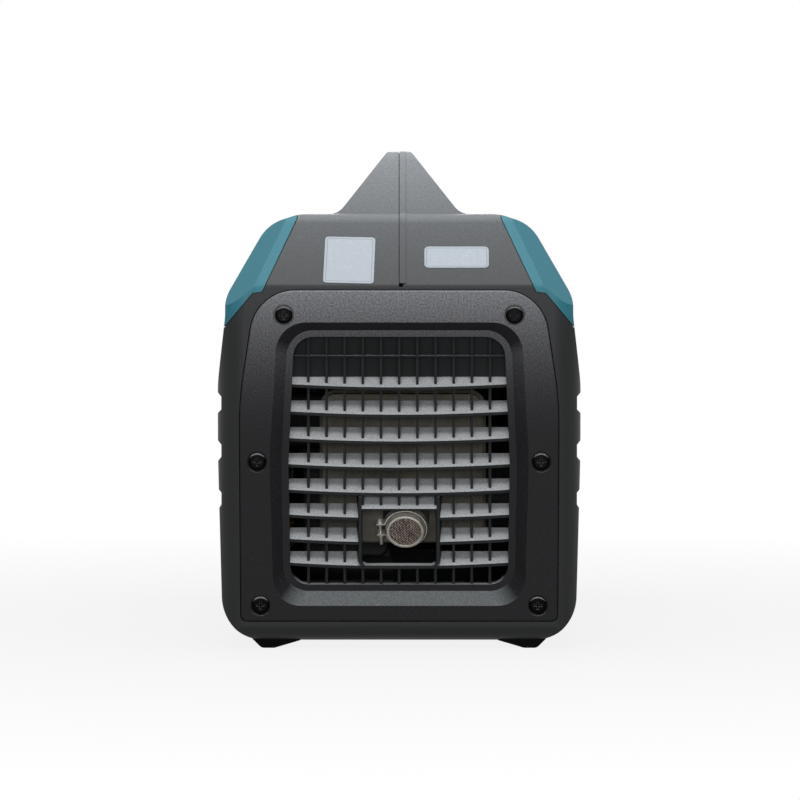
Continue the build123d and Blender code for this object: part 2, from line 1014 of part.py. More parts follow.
with BuildPart() as left_side_cover:
    add(skin.part)
    add(side_cover_zone(-1, 0), mode=Mode.INTERSECT)
save(left_side_cover, "left_side_cover")

# Maintenance cover and its quarter-turn screw
with BuildPart() as maintenance_cover:
    add(skin.part)
    add(hatch_zone(0), mode=Mode.INTERSECT)
    rod(
        (-hatch_floor_x, hatch_mid_y, hatch_screw_z),
        (-1, 0, 0),
        hatch_well_radius + wall,
        wall + hatch_well_floor,
    )
    rod(
        (-half_width + hatch_well_depth, hatch_mid_y, hatch_screw_z),
        (-1, 0, 0),
        hatch_well_radius,
        reach,
        mode=Mode.SUBTRACT,
    )
    rod(
        (-half_width + reach, hatch_mid_y, hatch_screw_z),
        (-1, 0, 0),
        hatch_shank_radius + running_gap,
        2 * reach,
        mode=Mode.SUBTRACT,
    )
save(maintenance_cover, "maintenance_cover")

with BuildPart() as maintenance_screw:
    head_face_x = half_width - hatch_well_depth + hatch_head_height
    rod(
        (-head_face_x + hatch_head_height, hatch_mid_y, hatch_screw_z),
        (-1, 0, 0),
        hatch_head_radius,
        hatch_head_height,
    )
    cuboid(
        (-head_face_x, -head_face_x + hatch_head_height / 2),
        (hatch_mid_y - hatch_slot_width / 2, hatch_mid_y + hatch_slot_width / 2),
        (hatch_screw_z - hatch_head_radius, hatch_screw_z + hatch_head_radius),
        mode=Mode.SUBTRACT,
    )
    rod(
        (-half_width + hatch_well_depth, hatch_mid_y, hatch_screw_z),
        (1, 0, 0),
        hatch_shank_radius,
        half_width - hatch_well_depth - hatch_tab_x + hatch_tab_thickness,
    )
save(maintenance_screw, "maintenance_screw")

# Spark plug cover in the deck
with BuildPart() as plug_access_cover:
    add(skin.part)
    add(plug_lid_zone(0), mode=Mode.INTERSECT)
    with Locations((plug_lid_x, plug_lid_y + plug_lid_length / 2, deck_z)):
        Sphere(plug_lid_notch / 2, mode=Mode.SUBTRACT)
save(plug_access_cover, "plug_access_cover")

# Base tray, its feet and the engine mounts
with BuildPart() as base_tray:
    cuboid(
        (-tray_half_width + fit_gap, tray_half_width - fit_gap),
        (-tray_half_length + fit_gap, tray_half_length - fit_gap),
        (foot_drop, foot_drop + wall),
    )
    cuboid(
        (-tray_half_width - tray_flange, tray_half_width + tray_flange),
        (-tray_half_length - tray_flange, tray_half_length + tray_flange),
        (foot_drop + wall, floor_z),
    )
    cuboid(
        (-tray_half_width, tray_half_width),
        (-tray_half_length, tray_half_length),
        (floor_z, floor_z + tray_rim),
    )
    cuboid(
        (-tray_half_width + wall, tray_half_width - wall),
        (-tray_half_length + wall, tray_half_length - wall),
        (floor_z, floor_z + tray_rim),
        mode=Mode.SUBTRACT,
    )
save(base_tray, "base_tray")

foot_limit = body_solid(-foot_seat_gap)
foot_outer_x = half_width - foot_inset
foot_inner_x = foot_outer_x - foot_width
foot_far_y = shell_end_y - foot_end_inset
with BuildPart() as rubber_feet:
    for side in (-1, 1):
        with BuildSketch(Plane.XZ.offset(-side * foot_far_y)):
            with BuildLine():
                FilletPolyline(
                    (foot_outer_x, foot_height),
                    (foot_outer_x, foot_outer_slope),
                    (foot_outer_x - foot_outer_slope, 0),
                    (foot_outer_x - foot_outer_slope - foot_flat, 0),
                    (foot_inner_x, foot_drop),
                    (foot_inner_x, foot_height),
                    radius=[0, foot_radius, foot_radius, foot_radius, 0, 0],
                    close=True,
                )
            make_face()
        extrude(amount=side * foot_length)
    mirror(about=Plane.YZ)
    add(foot_limit, mode=Mode.SUBTRACT)
save(rubber_feet, "rubber_feet")

# Exhaust cover: plate, skirt and dished recess
recess_floor_y = end_y - recess_depth
with BuildPart() as dish_outside:
    with BuildSketch(Plane.XZ.offset(end_y)):
        add(recess_outline(cover_plate))
    with BuildSketch(Plane.XZ.offset(recess_floor_y - cover_plate)):
        add(opening_outline(recess_rim))
    loft(ruled=True)
with BuildPart() as dish_inside:
    with BuildSketch(Plane.XZ.offset(end_y)):
        add(recess_outline())
    with BuildSketch(Plane.XZ.offset(recess_floor_y)):
        add(opening_outline(recess_rim))
    loft(ruled=True)


def end_cover_blank(side):
    """The plate, skirt and screw sleeves that both end covers share."""
    outline = end_outline()
    skirt_hole = end_outline(-end_cover_skirt_wall)
    with BuildPart() as blank:
        add(end_prism(outline, side, ledge_y, end_y))
        outer_edges = blank.faces().sort_by(Axis.Y)[0 if side < 0 else -1].edges()
        fillet(outer_edges, end_cover_edge)
        add(end_prism(skirt_hole, side, ledge_y, end_y - cover_plate), mode=Mode.SUBTRACT)
        for x, z in screw_places():
            rod(
                (x, side * ledge_y, z),
                (0, side, 0),
                screw_well_radius + screw_sleeve_wall,
                end_cover_skirt - cover_plate / 2,
            )
    return blank.part


def screw_wells(side):
    """The counterbores and through holes for the screws of one end cover."""
    with BuildPart() as wells:
        for x, z in screw_places():
            rod((x, side * (end_y - screw_well_depth), z), (0, side, 0), screw_well_radius, reach)
            rod(
                (x, side * (ledge_y - reach), z),
                (0, side, 0),
                screw_shank_radius + fit_gap,
                reach + end_cover_skirt,
            )
    return wells.part


def cover_screws(side):
    """Six cross-slotted screws, seated in their wells."""
    seat_y = end_y - screw_well_depth
    head_y = seat_y + screw_head_height
    with BuildPart() as screws:
        for x, z in screw_places():
            rod((x, side * seat_y, z), (0, side, 0), screw_head_radius, screw_head_height)
            rod((x, side * seat_y, z), (0, -side, 0), screw_shank_radius, screw_length)
        rims = screws.faces().filter_by(Plane.XZ).sort_by(Axis.Y)
        rims = rims[:len(screw_places())] if side < 0 else rims[-len(screw_places()):]
        fillet(rims.edges(), screw_head_edge)
        for x, z in screw_places():
            slot = (screw_slot_length, screw_slot_width)
            for wide, tall in (slot, slot[::-1]):
                cuboid(
                    (x - wide / 2, x + wide / 2),
                    tuple(sorted((side * (head_y - screw_slot_depth), side * head_y))),
                    (z - tall / 2, z + tall / 2),
                    mode=Mode.SUBTRACT,
                )
    return screws


with BuildPart() as rear_cover:
    add(end_cover_blank(-1))
    add(dish_outside.part)
    add(dish_inside.part, mode=Mode.SUBTRACT)
    add(end_prism(opening_outline(), -1, recess_floor_y - reach, end_y), mode=Mode.SUBTRACT)
    add(screw_wells(-1), mode=Mode.SUBTRACT)
save(rear_cover, "rear_cover")

rear_cover_screws = cover_screws(-1)
save(rear_cover_screws, "rear_cover_screws")

# Louvre: flange against the back of the recess, bowed slats, upright ribs and the outlet window
louvre_y = recess_floor_y - cover_plate
louvre_back_y = louvre_y - louvre_depth
tilt = radians(slat_tilt)
slat_rise = slat_depth * sin(tilt)
slat_run = slat_depth * cos(tilt)


def slat_z(index):
    """The height of one slat's front edge; the pitch grows evenly from the lowest slat up."""
    return slat_first_z + index * slat_pitch + slat_pitch_gain * index * (index - 1) / 2


def slat_set():
    """The tilted slats as full-width bars, front edges bowed outwards at the middle."""
    with BuildPart() as slats:
        for index in range(slat_count):
            z = slat_z(index)
            with BuildSketch(Plane.YZ):
                with BuildLine():
                    Polyline(
                        (-recess_floor_y, z),
                        (-recess_floor_y + slat_run, z + slat_rise),
                        (-recess_floor_y + slat_run, z + slat_rise + slat_thickness),
                        (-recess_floor_y, z + slat_thickness),
                        close=True,
                    )
                make_face()
            extrude(amount=half_width, both=True)
    return slats.part


def bow_block(front_setback, back_y):
    """A block from a bowed front to a flat back, as wide as the louvre opening."""
    edge_x = half_width - opening_belly_inset + louvre_flange
    with BuildPart() as block:
        with BuildSketch(Plane.XY):
            with BuildLine():
                ThreePointArc(
                    (-edge_x, -recess_floor_y + slat_bow + front_setback),
                    (0, -recess_floor_y + front_setback),
                    (edge_x, -recess_floor_y + slat_bow + front_setback),
                )
                Polyline(
                    (edge_x, -recess_floor_y + slat_bow + front_setback),
                    (edge_x, -back_y),
                    (-edge_x, -back_y),
                    (-edge_x, -recess_floor_y + slat_bow + front_setback),
                )
            make_face()
        extrude(amount=overall_height)
    return block.part


slat_front = bow_block(0, louvre_back_y)
rib_front = bow_block(rib_setback, louvre_back_y)
with BuildPart() as louvre_space:
    add(end_prism(opening_outline(louvre_wall / 2), -1, louvre_back_y, louvre_y))
    add(end_prism(opening_outline(-fit_gap), -1, louvre_back_y, end_y))
with BuildPart() as slats:
    add(slat_set())
    add(slat_front, mode=Mode.INTERSECT)
    add(louvre_space.part, mode=Mode.INTERSECT)
with BuildPart() as ribs:
    for index in range(rib_count):
        x = (index - (rib_count - 1) / 2) * rib_pitch
        cuboid(
            (x - rib_thickness / 2, x + rib_thickness / 2),
            (-end_y, -louvre_back_y),
            (0, overall_height),
        )
    add(rib_front, mode=Mode.INTERSECT)
    add(louvre_space.part, mode=Mode.INTERSECT)
with BuildPart() as top_rib:
    top_rib_z = slat_z(slat_count - 1) + top_rib_rise
    cuboid(
        (-half_width, half_width),
        (-end_y, -louvre_back_y),
        (top_rib_z - top_rib_thickness / 2, top_rib_z + top_rib_thickness / 2),
    )
    add(bow_block(top_rib_setback, louvre_back_y), mode=Mode.INTERSECT)
    add(louvre_space.part, mode=Mode.INTERSECT)


window_front_y = recess_floor_y - slat_bow / 2 + window_proud
bank_z = window_low_z + window_height


def window_block(shrink, spread):
    """The outlet window's block up to its top, drawn in evenly and growing wider towards its back."""
    tall = window_height + 2 * window_radius
    with BuildPart() as block:
        for y, widen in ((window_front_y, 0), (louvre_back_y, spread)):
            with BuildSketch(Plane.XZ.offset(y)):
                with Locations((0, window_low_z + shrink + tall / 2)):
                    RectangleRounded(window_width - 2 * shrink + 2 * widen, tall, window_radius - shrink)
        loft()
        cuboid((-half_width, half_width), (-end_y, 0), (0, bank_z), mode=Mode.INTERSECT)
    return block.part


def window_roof(low, high):
    """A bar over the window, between two distances below its top, sloping like the slats."""
    run = window_front_y - louvre_back_y
    rise = run * sin(tilt) / cos(tilt)
    with BuildPart() as roof:
        with BuildSketch(Plane.YZ):
            with BuildLine():
                Polyline(
                    (-window_front_y, window_top_z - low),
                    (-louvre_back_y, window_top_z - low + rise),
                    (-louvre_back_y, window_top_z - high + rise),
                    (-window_front_y, window_top_z - high),
                    close=True,
                )
            make_face()
        extrude(amount=half_width, both=True)
    return roof.part


window_hole = window_block(window_wall, -window_draft)
with BuildPart() as window_frame:
    add(window_block(0, window_flare))
    add(window_hole, mode=Mode.SUBTRACT)
with BuildPart() as window_top:
    add(window_roof(window_top_thickness, 0))
    add(window_hole, mode=Mode.INTERSECT)
with BuildPart() as window_way:
    add(window_roof(window_top_z, 0))
    add(window_hole, mode=Mode.INTERSECT)


def centre_bank(grow):
    """The louvre's middle below the window's top: the window and the strip that it stands on."""
    edge_x = window_width / 2 + grow
    with BuildPart() as bank:
        add(window_block(-grow, window_flare))
        cuboid((-edge_x, edge_x), (-end_y, -louvre_back_y), (0, window_low_z + window_radius))
    return bank.part


sill_line_z = window_low_z + window_wall + sill_line_rise
with BuildPart() as sill_slit:
    add(centre_bank(bank_gap / 2))
    cuboid(
        (-half_width, half_width),
        (-end_y, -louvre_back_y),
        (sill_line_z, sill_line_z + bank_gap),
        mode=Mode.INTERSECT,
    )
# Parting lines that leave the louvre in five banks: upper, left, right, window and sill
with BuildPart() as bank_slits:
    add(centre_bank(bank_gap))
    add(centre_bank(0), mode=Mode.SUBTRACT)
    cuboid((-half_width, half_width), (-end_y, -louvre_back_y), (bank_z, bank_z + bank_gap))

opening_top_z = end_cover_top_z - opening_top_drop
with BuildPart() as baffle:
    cuboid(
        (-half_width, half_width),
        (-louvre_back_y - baffle_setback - baffle_thickness, -louvre_back_y - baffle_setback),
        (opening_top_z - baffle_drop, opening_top_z),
    )
    add(louvre_space.part, mode=Mode.INTERSECT)
with BuildPart() as rear_louvre:
    add(end_prism(opening_outline(louvre_flange), -1, louvre_y - louvre_flange_thickness, louvre_y))
    add(end_prism(opening_outline(louvre_wall), -1, louvre_back_y, louvre_y))
    add(end_prism(opening_outline(), -1, louvre_back_y - reach, end_y), mode=Mode.SUBTRACT)
    add(slats.part)
    add(ribs.part)
    add(top_rib.part)
    add(baffle.part)
    add(window_way.part, mode=Mode.SUBTRACT)
    add(window_frame.part)
    add(window_top.part)
    add(bank_slits.part, mode=Mode.SUBTRACT)
    add(sill_slit.part, mode=Mode.SUBTRACT)
save(rear_louvre, "rear_louvre")

# Muffler, outlet pipe, spark arrester and clamp
droop = radians(outlet_droop)
turn = radians(outlet_turn)
outlet_axis = Vector(-sin(turn) * cos(droop), -cos(turn) * cos(droop), -sin(droop))
outlet_face = Vector(outlet_x, -end_y + outlet_setback, outlet_z)
outlet_plane = Plane(origin=outlet_face, x_dir=outlet_axis.cross(Vector(0, 0, 1)), z_dir=outlet_axis)
sleeve_bore = outlet_pipe_radius + close_gap
sleeve_outer = sleeve_bore + arrester_sleeve_wall
muffler_front_y = muffler_rear_y + muffler_depth
muffler_mid_y = muffler_rear_y + muffler_depth / 2
cylinder_side_x = cylinder_x + fin_width / 2
pipe_length = (muffler_mid_y - outlet_face.Y) / -outlet_axis.Y
well_place = (outlet_well_x, muffler_rear_y, outlet_well_z)


def muffler_block(shrink):
    """The muffler's rounded box, drawn in by an even amount."""
    with BuildPart() as block:
        cuboid(
            (muffler_left_x + shrink, muffler_right_x - shrink),
            (muffler_rear_y + shrink, muffler_front_y - shrink),
            (muffler_low_z + shrink, muffler_high_z - shrink),
        )
        fillet(block.edges().filter_by(Axis.Y), muffler_radius - shrink)
    return block.part


def outlet_tube(radius, near, far):
    """A cylinder on the outlet axis between two distances behind the outlet's face."""
    with BuildPart() as tube:
        with BuildSketch(outlet_plane.offset(-near)):
            Circle(radius)
        extrude(amount=near - far)
    return tube.part


muffler_space = muffler_block(muffler_wall)
with BuildPart() as muffler_seam_ring:
    add(muffler_block(-muffler_seam))
    cuboid(
        (-half_width, half_width),
        (muffler_mid_y - muffler_seam_thickness / 2, muffler_mid_y + muffler_seam_thickness / 2),
        (0, overall_height),
        mode=Mode.INTERSECT,
    )
with BuildPart() as muffler:
    add(muffler_block(0))
    add(muffler_seam_ring.part)
    add(muffler_space, mode=Mode.SUBTRACT)
    rod(well_place, (0, 1, 0), outlet_well_radius + muffler_wall, outlet_well_depth + muffler_wall)
    rod(well_place, (0, 1, 0), outlet_well_radius, outlet_well_depth, mode=Mode.SUBTRACT)
    add(outlet_tube(outlet_pipe_radius, arrester_ring_width, pipe_length))
    with BuildLine() as header_path:
        FilletPolyline(
            (cylinder_side_x, header_y, crank_z),
            (header_x, header_y, crank_z),
            (header_x, muffler_front_y - muffler_wall / 2, crank_z),
            radius=header_bend_radius,
        )
    with BuildSketch(Plane(origin=(cylinder_side_x, header_y, crank_z), z_dir=(1, 0, 0))):
        Circle(header_radius)
    sweep(path=header_path.wires()[0])
    cuboid(
        (cylinder_side_x, cylinder_side_x + header_flange_thickness),
        (header_y - header_flange_width / 2, header_y + header_flange_width / 2),
        (crank_z - header_flange_height / 2, crank_z + header_flange_height / 2),
    )
    add(outlet_tube(outlet_pipe_radius - outlet_pipe_wall, 0, pipe_length), mode=Mode.SUBTRACT)
save(muffler, "muffler")

with BuildPart() as spark_arrester:
    add(outlet_tube(arrester_ring_radius, 0, arrester_ring_width))
    add(outlet_tube(sleeve_outer, 0, arrester_sleeve_length))
    add(outlet_tube(arrester_collar_radius, clamp_setback, clamp_setback + clamp_width))
    add(outlet_tube(sleeve_bore, arrester_ring_width, arrester_sleeve_length), mode=Mode.SUBTRACT)
    add(outlet_tube(arrester_mesh_radius, 0, arrester_ring_width), mode=Mode.SUBTRACT)
    ring_face = spark_arrester.faces().sort_by(Axis(outlet_face, outlet_axis))[-1]
    fillet(ring_face.edges(), arrester_ring_edge)
    add(
        outlet_tube(
            arrester_mesh_radius + overlap,
            arrester_mesh_setback,
            arrester_mesh_setback + arrester_mesh_thickness,
        )
    )
save(spark_arrester, "spark_arrester")

clamp_bore = arrester_collar_radius + close_gap
clamp_outer = clamp_bore + clamp_wall
bolt_x = clamp_outer + clamp_ear_reach - 2 * clamp_bolt_radius
clamp_way = outlet_plane.x_dir * cos(radians(clamp_turn)) + outlet_plane.y_dir * sin(radians(clamp_turn))
clamp_plane = Plane(origin=outlet_face - outlet_axis * clamp_setback, x_dir=clamp_way, z_dir=outlet_axis)
bolt_plane = clamp_plane.offset(-clamp_width / 2)
ear_face_y = clamp_ear_gap / 2 + clamp_ear_thickness
head_seat = bolt_plane.from_local_coords(Vector(bolt_x, -ear_face_y, 0))
nut_seat = bolt_plane.from_local_coords(Vector(bolt_x, ear_face_y, 0))
bolt_way = bolt_plane.y_dir
with BuildPart() as clamp_band:
    with BuildSketch(clamp_plane):
        Circle(clamp_outer)
        Circle(clamp_bore, mode=Mode.SUBTRACT)
        with Locations((clamp_outer, 0)):
            Rectangle(2 * clamp_outer - 2 * overlap, clamp_ear_gap, mode=Mode.SUBTRACT)
        for side in (-1, 1):
            ear_mid_x = (clamp_bore + clamp_outer + clamp_ear_reach) / 2
            with Locations((ear_mid_x, side * (ear_face_y - clamp_ear_thickness / 2))):
                Rectangle(clamp_outer + clamp_ear_reach - clamp_bore, clamp_ear_thickness)
        Circle(clamp_bore, mode=Mode.SUBTRACT)
    extrude(amount=-clamp_width)
    rod(head_seat, bolt_way, clamp_bolt_radius + close_gap, clamp_bolt_length, mode=Mode.SUBTRACT)
with BuildPart() as clamp_bolt:
    rod(head_seat, bolt_way, clamp_bolt_radius, clamp_bolt_length)
    rod(head_seat, -bolt_way, clamp_head_radius, clamp_head_height)
    rod(nut_seat, bolt_way, clamp_head_radius, clamp_head_height)
with BuildPart() as outlet_clamp:
    add(clamp_band.part)
    add(clamp_bolt.part)
save(outlet_clamp, "outlet_clamp")

# Engine block, standing on rubber mounts
base_low_z = floor_z + mount_height
crankcase_low_z = base_low_z + base_flange_thickness
mount_xs = (crankcase_left_x + crankcase_radius + mount_radius, crankcase_right_x - mount_radius)
mount_ys = (crankcase_rear_y - base_flange + mount_radius, crankcase_front_y + base_flange - mount_radius)
with BuildPart() as engine_mounts:
    for x in mount_xs:
        for y in mount_ys:
            rod((x, y, floor_z), (0, 0, 1), mount_radius, mount_height)
save(engine_mounts, "engine_mounts")

boss_end_x = crankcase_right_x + stator_boss_length
shaft_start_x = crankcase_left_x + crankcase_wall / 2
with BuildPart() as crankcase:
    cuboid(
        (crankcase_left_x, crankcase_right_x),
        (crankcase_rear_y, crankcase_front_y),
        (crankcase_low_z, crankcase_high_z),
    )
    fillet(crankcase.edges().filter_by(Axis.X), crankcase_radius)
    cuboid(
        (crankcase_left_x, crankcase_right_x),
        (crankcase_rear_y - base_flange, crankcase_front_y + base_flange),
        (base_low_z, crankcase_low_z + overlap),
    )
    rod((crankcase_right_x, crank_y, crank_z), (1, 0, 0), stator_boss_radius, stator_boss_length)
    rod((crankcase_left_x, dipstick_y, dipstick_z), (-1, 0, 0), dipstick_boss_radius, dipstick_boss_length)
    cuboid(
        (crankcase_left_x + crankcase_wall, crankcase_right_x - crankcase_wall),
        (crankcase_rear_y + crankcase_wall, crankcase_front_y - crankcase_wall),
        (crankcase_low_z + crankcase_wall, crankcase_high_z - crankcase_wall),
        mode=Mode.SUBTRACT,
    )
    rod(
        (shaft_start_x, crank_y, crank_z),
        (1, 0, 0),
        shaft_radius + running_gap,
        boss_end_x - shaft_start_x,
        mode=Mode.SUBTRACT,
    )
    rod(
        (cylinder_x, crank_y, crank_z),
        (0, -1, 0),
        bore_radius,
        crank_y - crankcase_rear_y,
        mode=Mode.SUBTRACT,
    )
    rod(
        (crankcase_left_x - dipstick_boss_length, dipstick_y, dipstick_z),
        (1, 0, 0),
        dipstick_rod_radius + running_gap,
        dipstick_boss_length + crankcase_wall,
        mode=Mode.SUBTRACT,
    )
save(crankcase, "crankcase")

dipstick_seat_x = crankcase_left_x - dipstick_boss_length
with BuildPart() as oil_dipstick:
    rod((dipstick_seat_x, dipstick_y, dipstick_z), (-1, 0, 0), dipstick_head_radius, dipstick_head_length)
    with Locations(Plane(origin=(dipstick_seat_x, dipstick_y, dipstick_z), z_dir=(-1, 0, 0))):
        with PolarLocations(dipstick_head_radius, dipstick_ribs):
            Cylinder(
                dipstick_rib_radius,
                dipstick_head_length,
                align=(Align.CENTER, Align.CENTER, Align.MIN),
            )
    rod((dipstick_seat_x, dipstick_y, dipstick_z), (1, 0, 0), dipstick_rod_radius, dipstick_rod_length)
save(oil_dipstick, "oil_dipstick")

cylinder_end_y = crankcase_rear_y - cylinder_length
bore_end_y = cylinder_end_y + head_roof
cylinder_top_z = crank_z + fin_height / 2
fin_count = int((cylinder_length - head_length) / fin_pitch)
with BuildPart() as cylinder:
    rod((cylinder_x, crankcase_rear_y, crank_z), (0, -1, 0), cylinder_radius, cylinder_length)
    for index in range(fin_count):
        y = crankcase_rear_y - fin_pitch * (index + 1) + fin_pitch / 2
        cuboid(
            (cylinder_x - fin_width / 2, cylinder_x + fin_width / 2),
            (y - fin_thickness / 2, y + fin_thickness / 2),
            (crank_z - fin_height / 2, cylinder_top_z),
        )
    cuboid(
        (cylinder_x - fin_width / 2, cylinder_x + fin_width / 2),
        (cylinder_end_y, cylinder_end_y + head_length),
        (crank_z - fin_height / 2, cylinder_top_z),
    )
    rod(
        (cylinder_x, crankcase_rear_y, crank_z),
        (0, -1, 0),
        bore_radius,
        crankcase_rear_y - bore_end_y,
        mode=Mode.SUBTRACT,
    )
save(cylinder, "cylinder")

with BuildPart() as valve_cover:
    cuboid(
        (cylinder_x - fin_width / 2, cylinder_x + fin_width / 2),
        (cylinder_end_y - valve_cover_length, cylinder_end_y),
        (crank_z - fin_height / 2, cylinder_top_z),
    )
    fillet(valve_cover.edges().filter_by(Axis.Y), crankcase_radius)
    fillet(valve_cover.faces().sort_by(Axis.Y)[0].edges(), valve_cover_edge)
save(valve_cover, "valve_cover")

crown_y = bore_end_y + piston_crown_gap
with BuildPart() as piston:
    rod((cylinder_x, crown_y, crank_z), (0, 1, 0), bore_radius - running_gap, piston_length)
    rod(
        (cylinder_x, crown_y + piston_wall, crank_z),
        (0, 1, 0),
        bore_radius - running_gap - piston_wall,
        piston_length,
        mode=Mode.SUBTRACT,
    )
save(piston, "piston")

# Rotating set on the crank: shaft, alternator rotor, fan and starter cup
rotor_bore = stator_outer_radius + rotor_air_gap
rotor_radius = rotor_bore + rotor_rim
drum_inner_radius = rotor_radius + drum_gap
fan_radius = drum_inner_radius - fan_tip_gap
drum_eye_radius = fan_radius - drum_eye_overlap
recoil_radius = drum_eye_radius + recoil_seat
stator_end_x = boss_end_x + stator_length
rotor_web_x = stator_end_x + rotor_end_gap
fan_x = rotor_web_x + rotor_web
cup_x = fan_x + fan_disc
drum_end_x = fan_x + fan_width + drum_end_gap
rotor_start_x = crankcase_right_x + drum_wall + rotor_setback
web_x = cylinder_x - web_spread / 2
with BuildPart() as crankshaft:
    rod((shaft_start_x + running_gap, crank_y, crank_z), (1, 0, 0), shaft_radius, web_x - shaft_start_x)
    for side in (-1, 1):
        rod(
            (cylinder_x + side * web_spread / 2, crank_y, crank_z),
            (side, 0, 0),
            web_radius,
            web_thickness,
        )
    rod((web_x, crank_y - stroke / 2, crank_z), (1, 0, 0), crank_pin_radius, web_spread)
    rod(
        (cylinder_x + web_spread / 2, crank_y, crank_z),
        (1, 0, 0),
        shaft_radius,
        cup_x + cup_wall - cylinder_x - web_spread / 2,
    )
save(crankshaft, "crankshaft")

with BuildPart() as alternator_rotor:
    rod((rotor_start_x, crank_y, crank_z), (1, 0, 0), rotor_radius, fan_x - rotor_start_x)
    rod(
        (rotor_start_x, crank_y, crank_z),
        (1, 0, 0),
        rotor_bore,
        rotor_web_x - rotor_start_x,
        mode=Mode.SUBTRACT,
    )
    rod(
        (rotor_start_x, crank_y, crank_z),
        (1, 0, 0),
        shaft_radius,
        fan_x - rotor_start_x,
        mode=Mode.SUBTRACT,
    )
save(alternator_rotor, "alternator_rotor")

with BuildPart() as cooling_fan:
    rod((fan_x, crank_y, crank_z), (1, 0, 0), fan_radius, fan_disc)
    with Locations(Plane(origin=(fan_x, crank_y, crank_z), z_dir=(1, 0, 0))):
        with PolarLocations((fan_radius + fan_hub_radius) / 2, fan_blades):
            Box(
                fan_radius - fan_hub_radius,
                fan_blade_thickness,
                fan_width,
                align=(Align.CENTER, Align.CENTER, Align.MIN),
            )
    rod((fan_x, crank_y, crank_z), (1, 0, 0), shaft_radius, fan_width, mode=Mode.SUBTRACT)
save(cooling_fan, "cooling_fan")

with BuildPart() as starter_cup:
    rod((cup_x, crank_y, crank_z), (1, 0, 0), cup_radius, cup_length)
    rod(
        (cup_x + cup_wall, crank_y, crank_z),
        (1, 0, 0),
        cup_radius - cup_wall,
        cup_length,
        mode=Mode.SUBTRACT,
    )
    rod((cup_x, crank_y, crank_z), (1, 0, 0), shaft_radius, cup_wall, mode=Mode.SUBTRACT)
save(starter_cup, "starter_cup")

with BuildPart() as alternator_stator:
    rod((boss_end_x, crank_y, crank_z), (1, 0, 0), stator_outer_radius, stator_length)
    with Locations(Plane(origin=(boss_end_x, crank_y, crank_z), z_dir=(1, 0, 0))):
        with PolarLocations(stator_outer_radius - stator_slot_depth / 2, stator_slots):
            Box(
                stator_slot_depth,
                stator_slot_width,
                stator_length,
                align=(Align.CENTER, Align.CENTER, Align.MIN),
                mode=Mode.SUBTRACT,
            )
    rod(
        (boss_end_x, crank_y, crank_z),
        (1, 0, 0),
        stator_inner_radius,
        stator_length,
        mode=Mode.SUBTRACT,
    )
save(alternator_stator, "alternator_stator")

# Fan housing and recoil starter
with BuildPart() as fan_housing:
    rod(
        (crankcase_right_x, crank_y, crank_z),
        (1, 0, 0),
        drum_inner_radius + drum_wall,
        drum_end_x - crankcase_right_x,
    )
    rod(
        (crankcase_right_x + drum_wall, crank_y, crank_z),
        (1, 0, 0),
        drum_inner_radius,
        drum_end_x - crankcase_right_x - 2 * drum_wall,
        mode=Mode.SUBTRACT,
    )
    rod(
        (crankcase_right_x, crank_y, crank_z),
        (1, 0, 0),
        stator_boss_radius + fit_gap,
        drum_wall,
        mode=Mode.SUBTRACT,
    )
    rod(
        (drum_end_x - drum_wall, crank_y, crank_z),
        (1, 0, 0),
        drum_eye_radius,
        drum_wall,
        mode=Mode.SUBTRACT,
    )
    cuboid(
        (rotor_start_x, fan_x + fan_width),
        (crank_y - 2 * drum_inner_radius, crank_y - drum_inner_radius / 2),
        (crank_z - fin_height / 2, crank_z + fin_height / 2),
        mode=Mode.SUBTRACT,
    )
save(fan_housing, "fan_housing")

recoil_end_x = drum_end_x + recoil_depth
reel_end_x = recoil_end_x - drum_wall - reel_setback
reel_x = reel_end_x - reel_width
rope_x = reel_x + reel_width / 2
wound_radius = reel_groove_radius + rope_radius + lip_gap
guide_reach = hypot(pocket_y - crank_y, pocket_z - crank_z)
leave_angle = atan2(pocket_z - crank_z, pocket_y - crank_y) - acos(wound_radius / guide_reach)
leave = Vector(
    rope_x,
    crank_y + wound_radius * cos(leave_angle),
    crank_z + wound_radius * sin(leave_angle),
)
guide = Vector(rope_x, pocket_y, pocket_z)
with BuildPart() as recoil_housing:
    rod((drum_end_x, crank_y, crank_z), (1, 0, 0), recoil_radius, recoil_depth)
    rod(
        (drum_end_x, crank_y, crank_z),
        (1, 0, 0),
        recoil_radius - drum_wall,
        recoil_depth - drum_wall,
        mode=Mode.SUBTRACT,
    )
    rod((reel_x, crank_y, crank_z), (1, 0, 0), recoil_post_radius, recoil_end_x - reel_x)
    rod(
        (reel_end_x, crank_y, crank_z),
        (1, 0, 0),
        recoil_post_radius + recoil_post_collar,
        recoil_end_x - reel_end_x,
    )
    rod(leave, guide - leave, rope_eye_radius, (guide - leave).length, mode=Mode.SUBTRACT)
save(recoil_housing, "recoil_housing")

with BuildPart() as recoil_reel:
    rod((reel_x, crank_y, crank_z), (1, 0, 0), reel_radius, reel_width - running_gap)
    with BuildSketch(Plane(origin=(rope_x, crank_y, crank_z), z_dir=(1, 0, 0))):
        Circle(reel_radius)
        Circle(reel_groove_radius, mode=Mode.SUBTRACT)
    extrude(amount=reel_groove_width / 2, both=True, mode=Mode.SUBTRACT)
    rod(
        (reel_x, crank_y, crank_z),
        (1, 0, 0),
        recoil_post_radius + running_gap,
        reel_width,
        mode=Mode.SUBTRACT,
    )
save(recoil_reel, "recoil_reel")

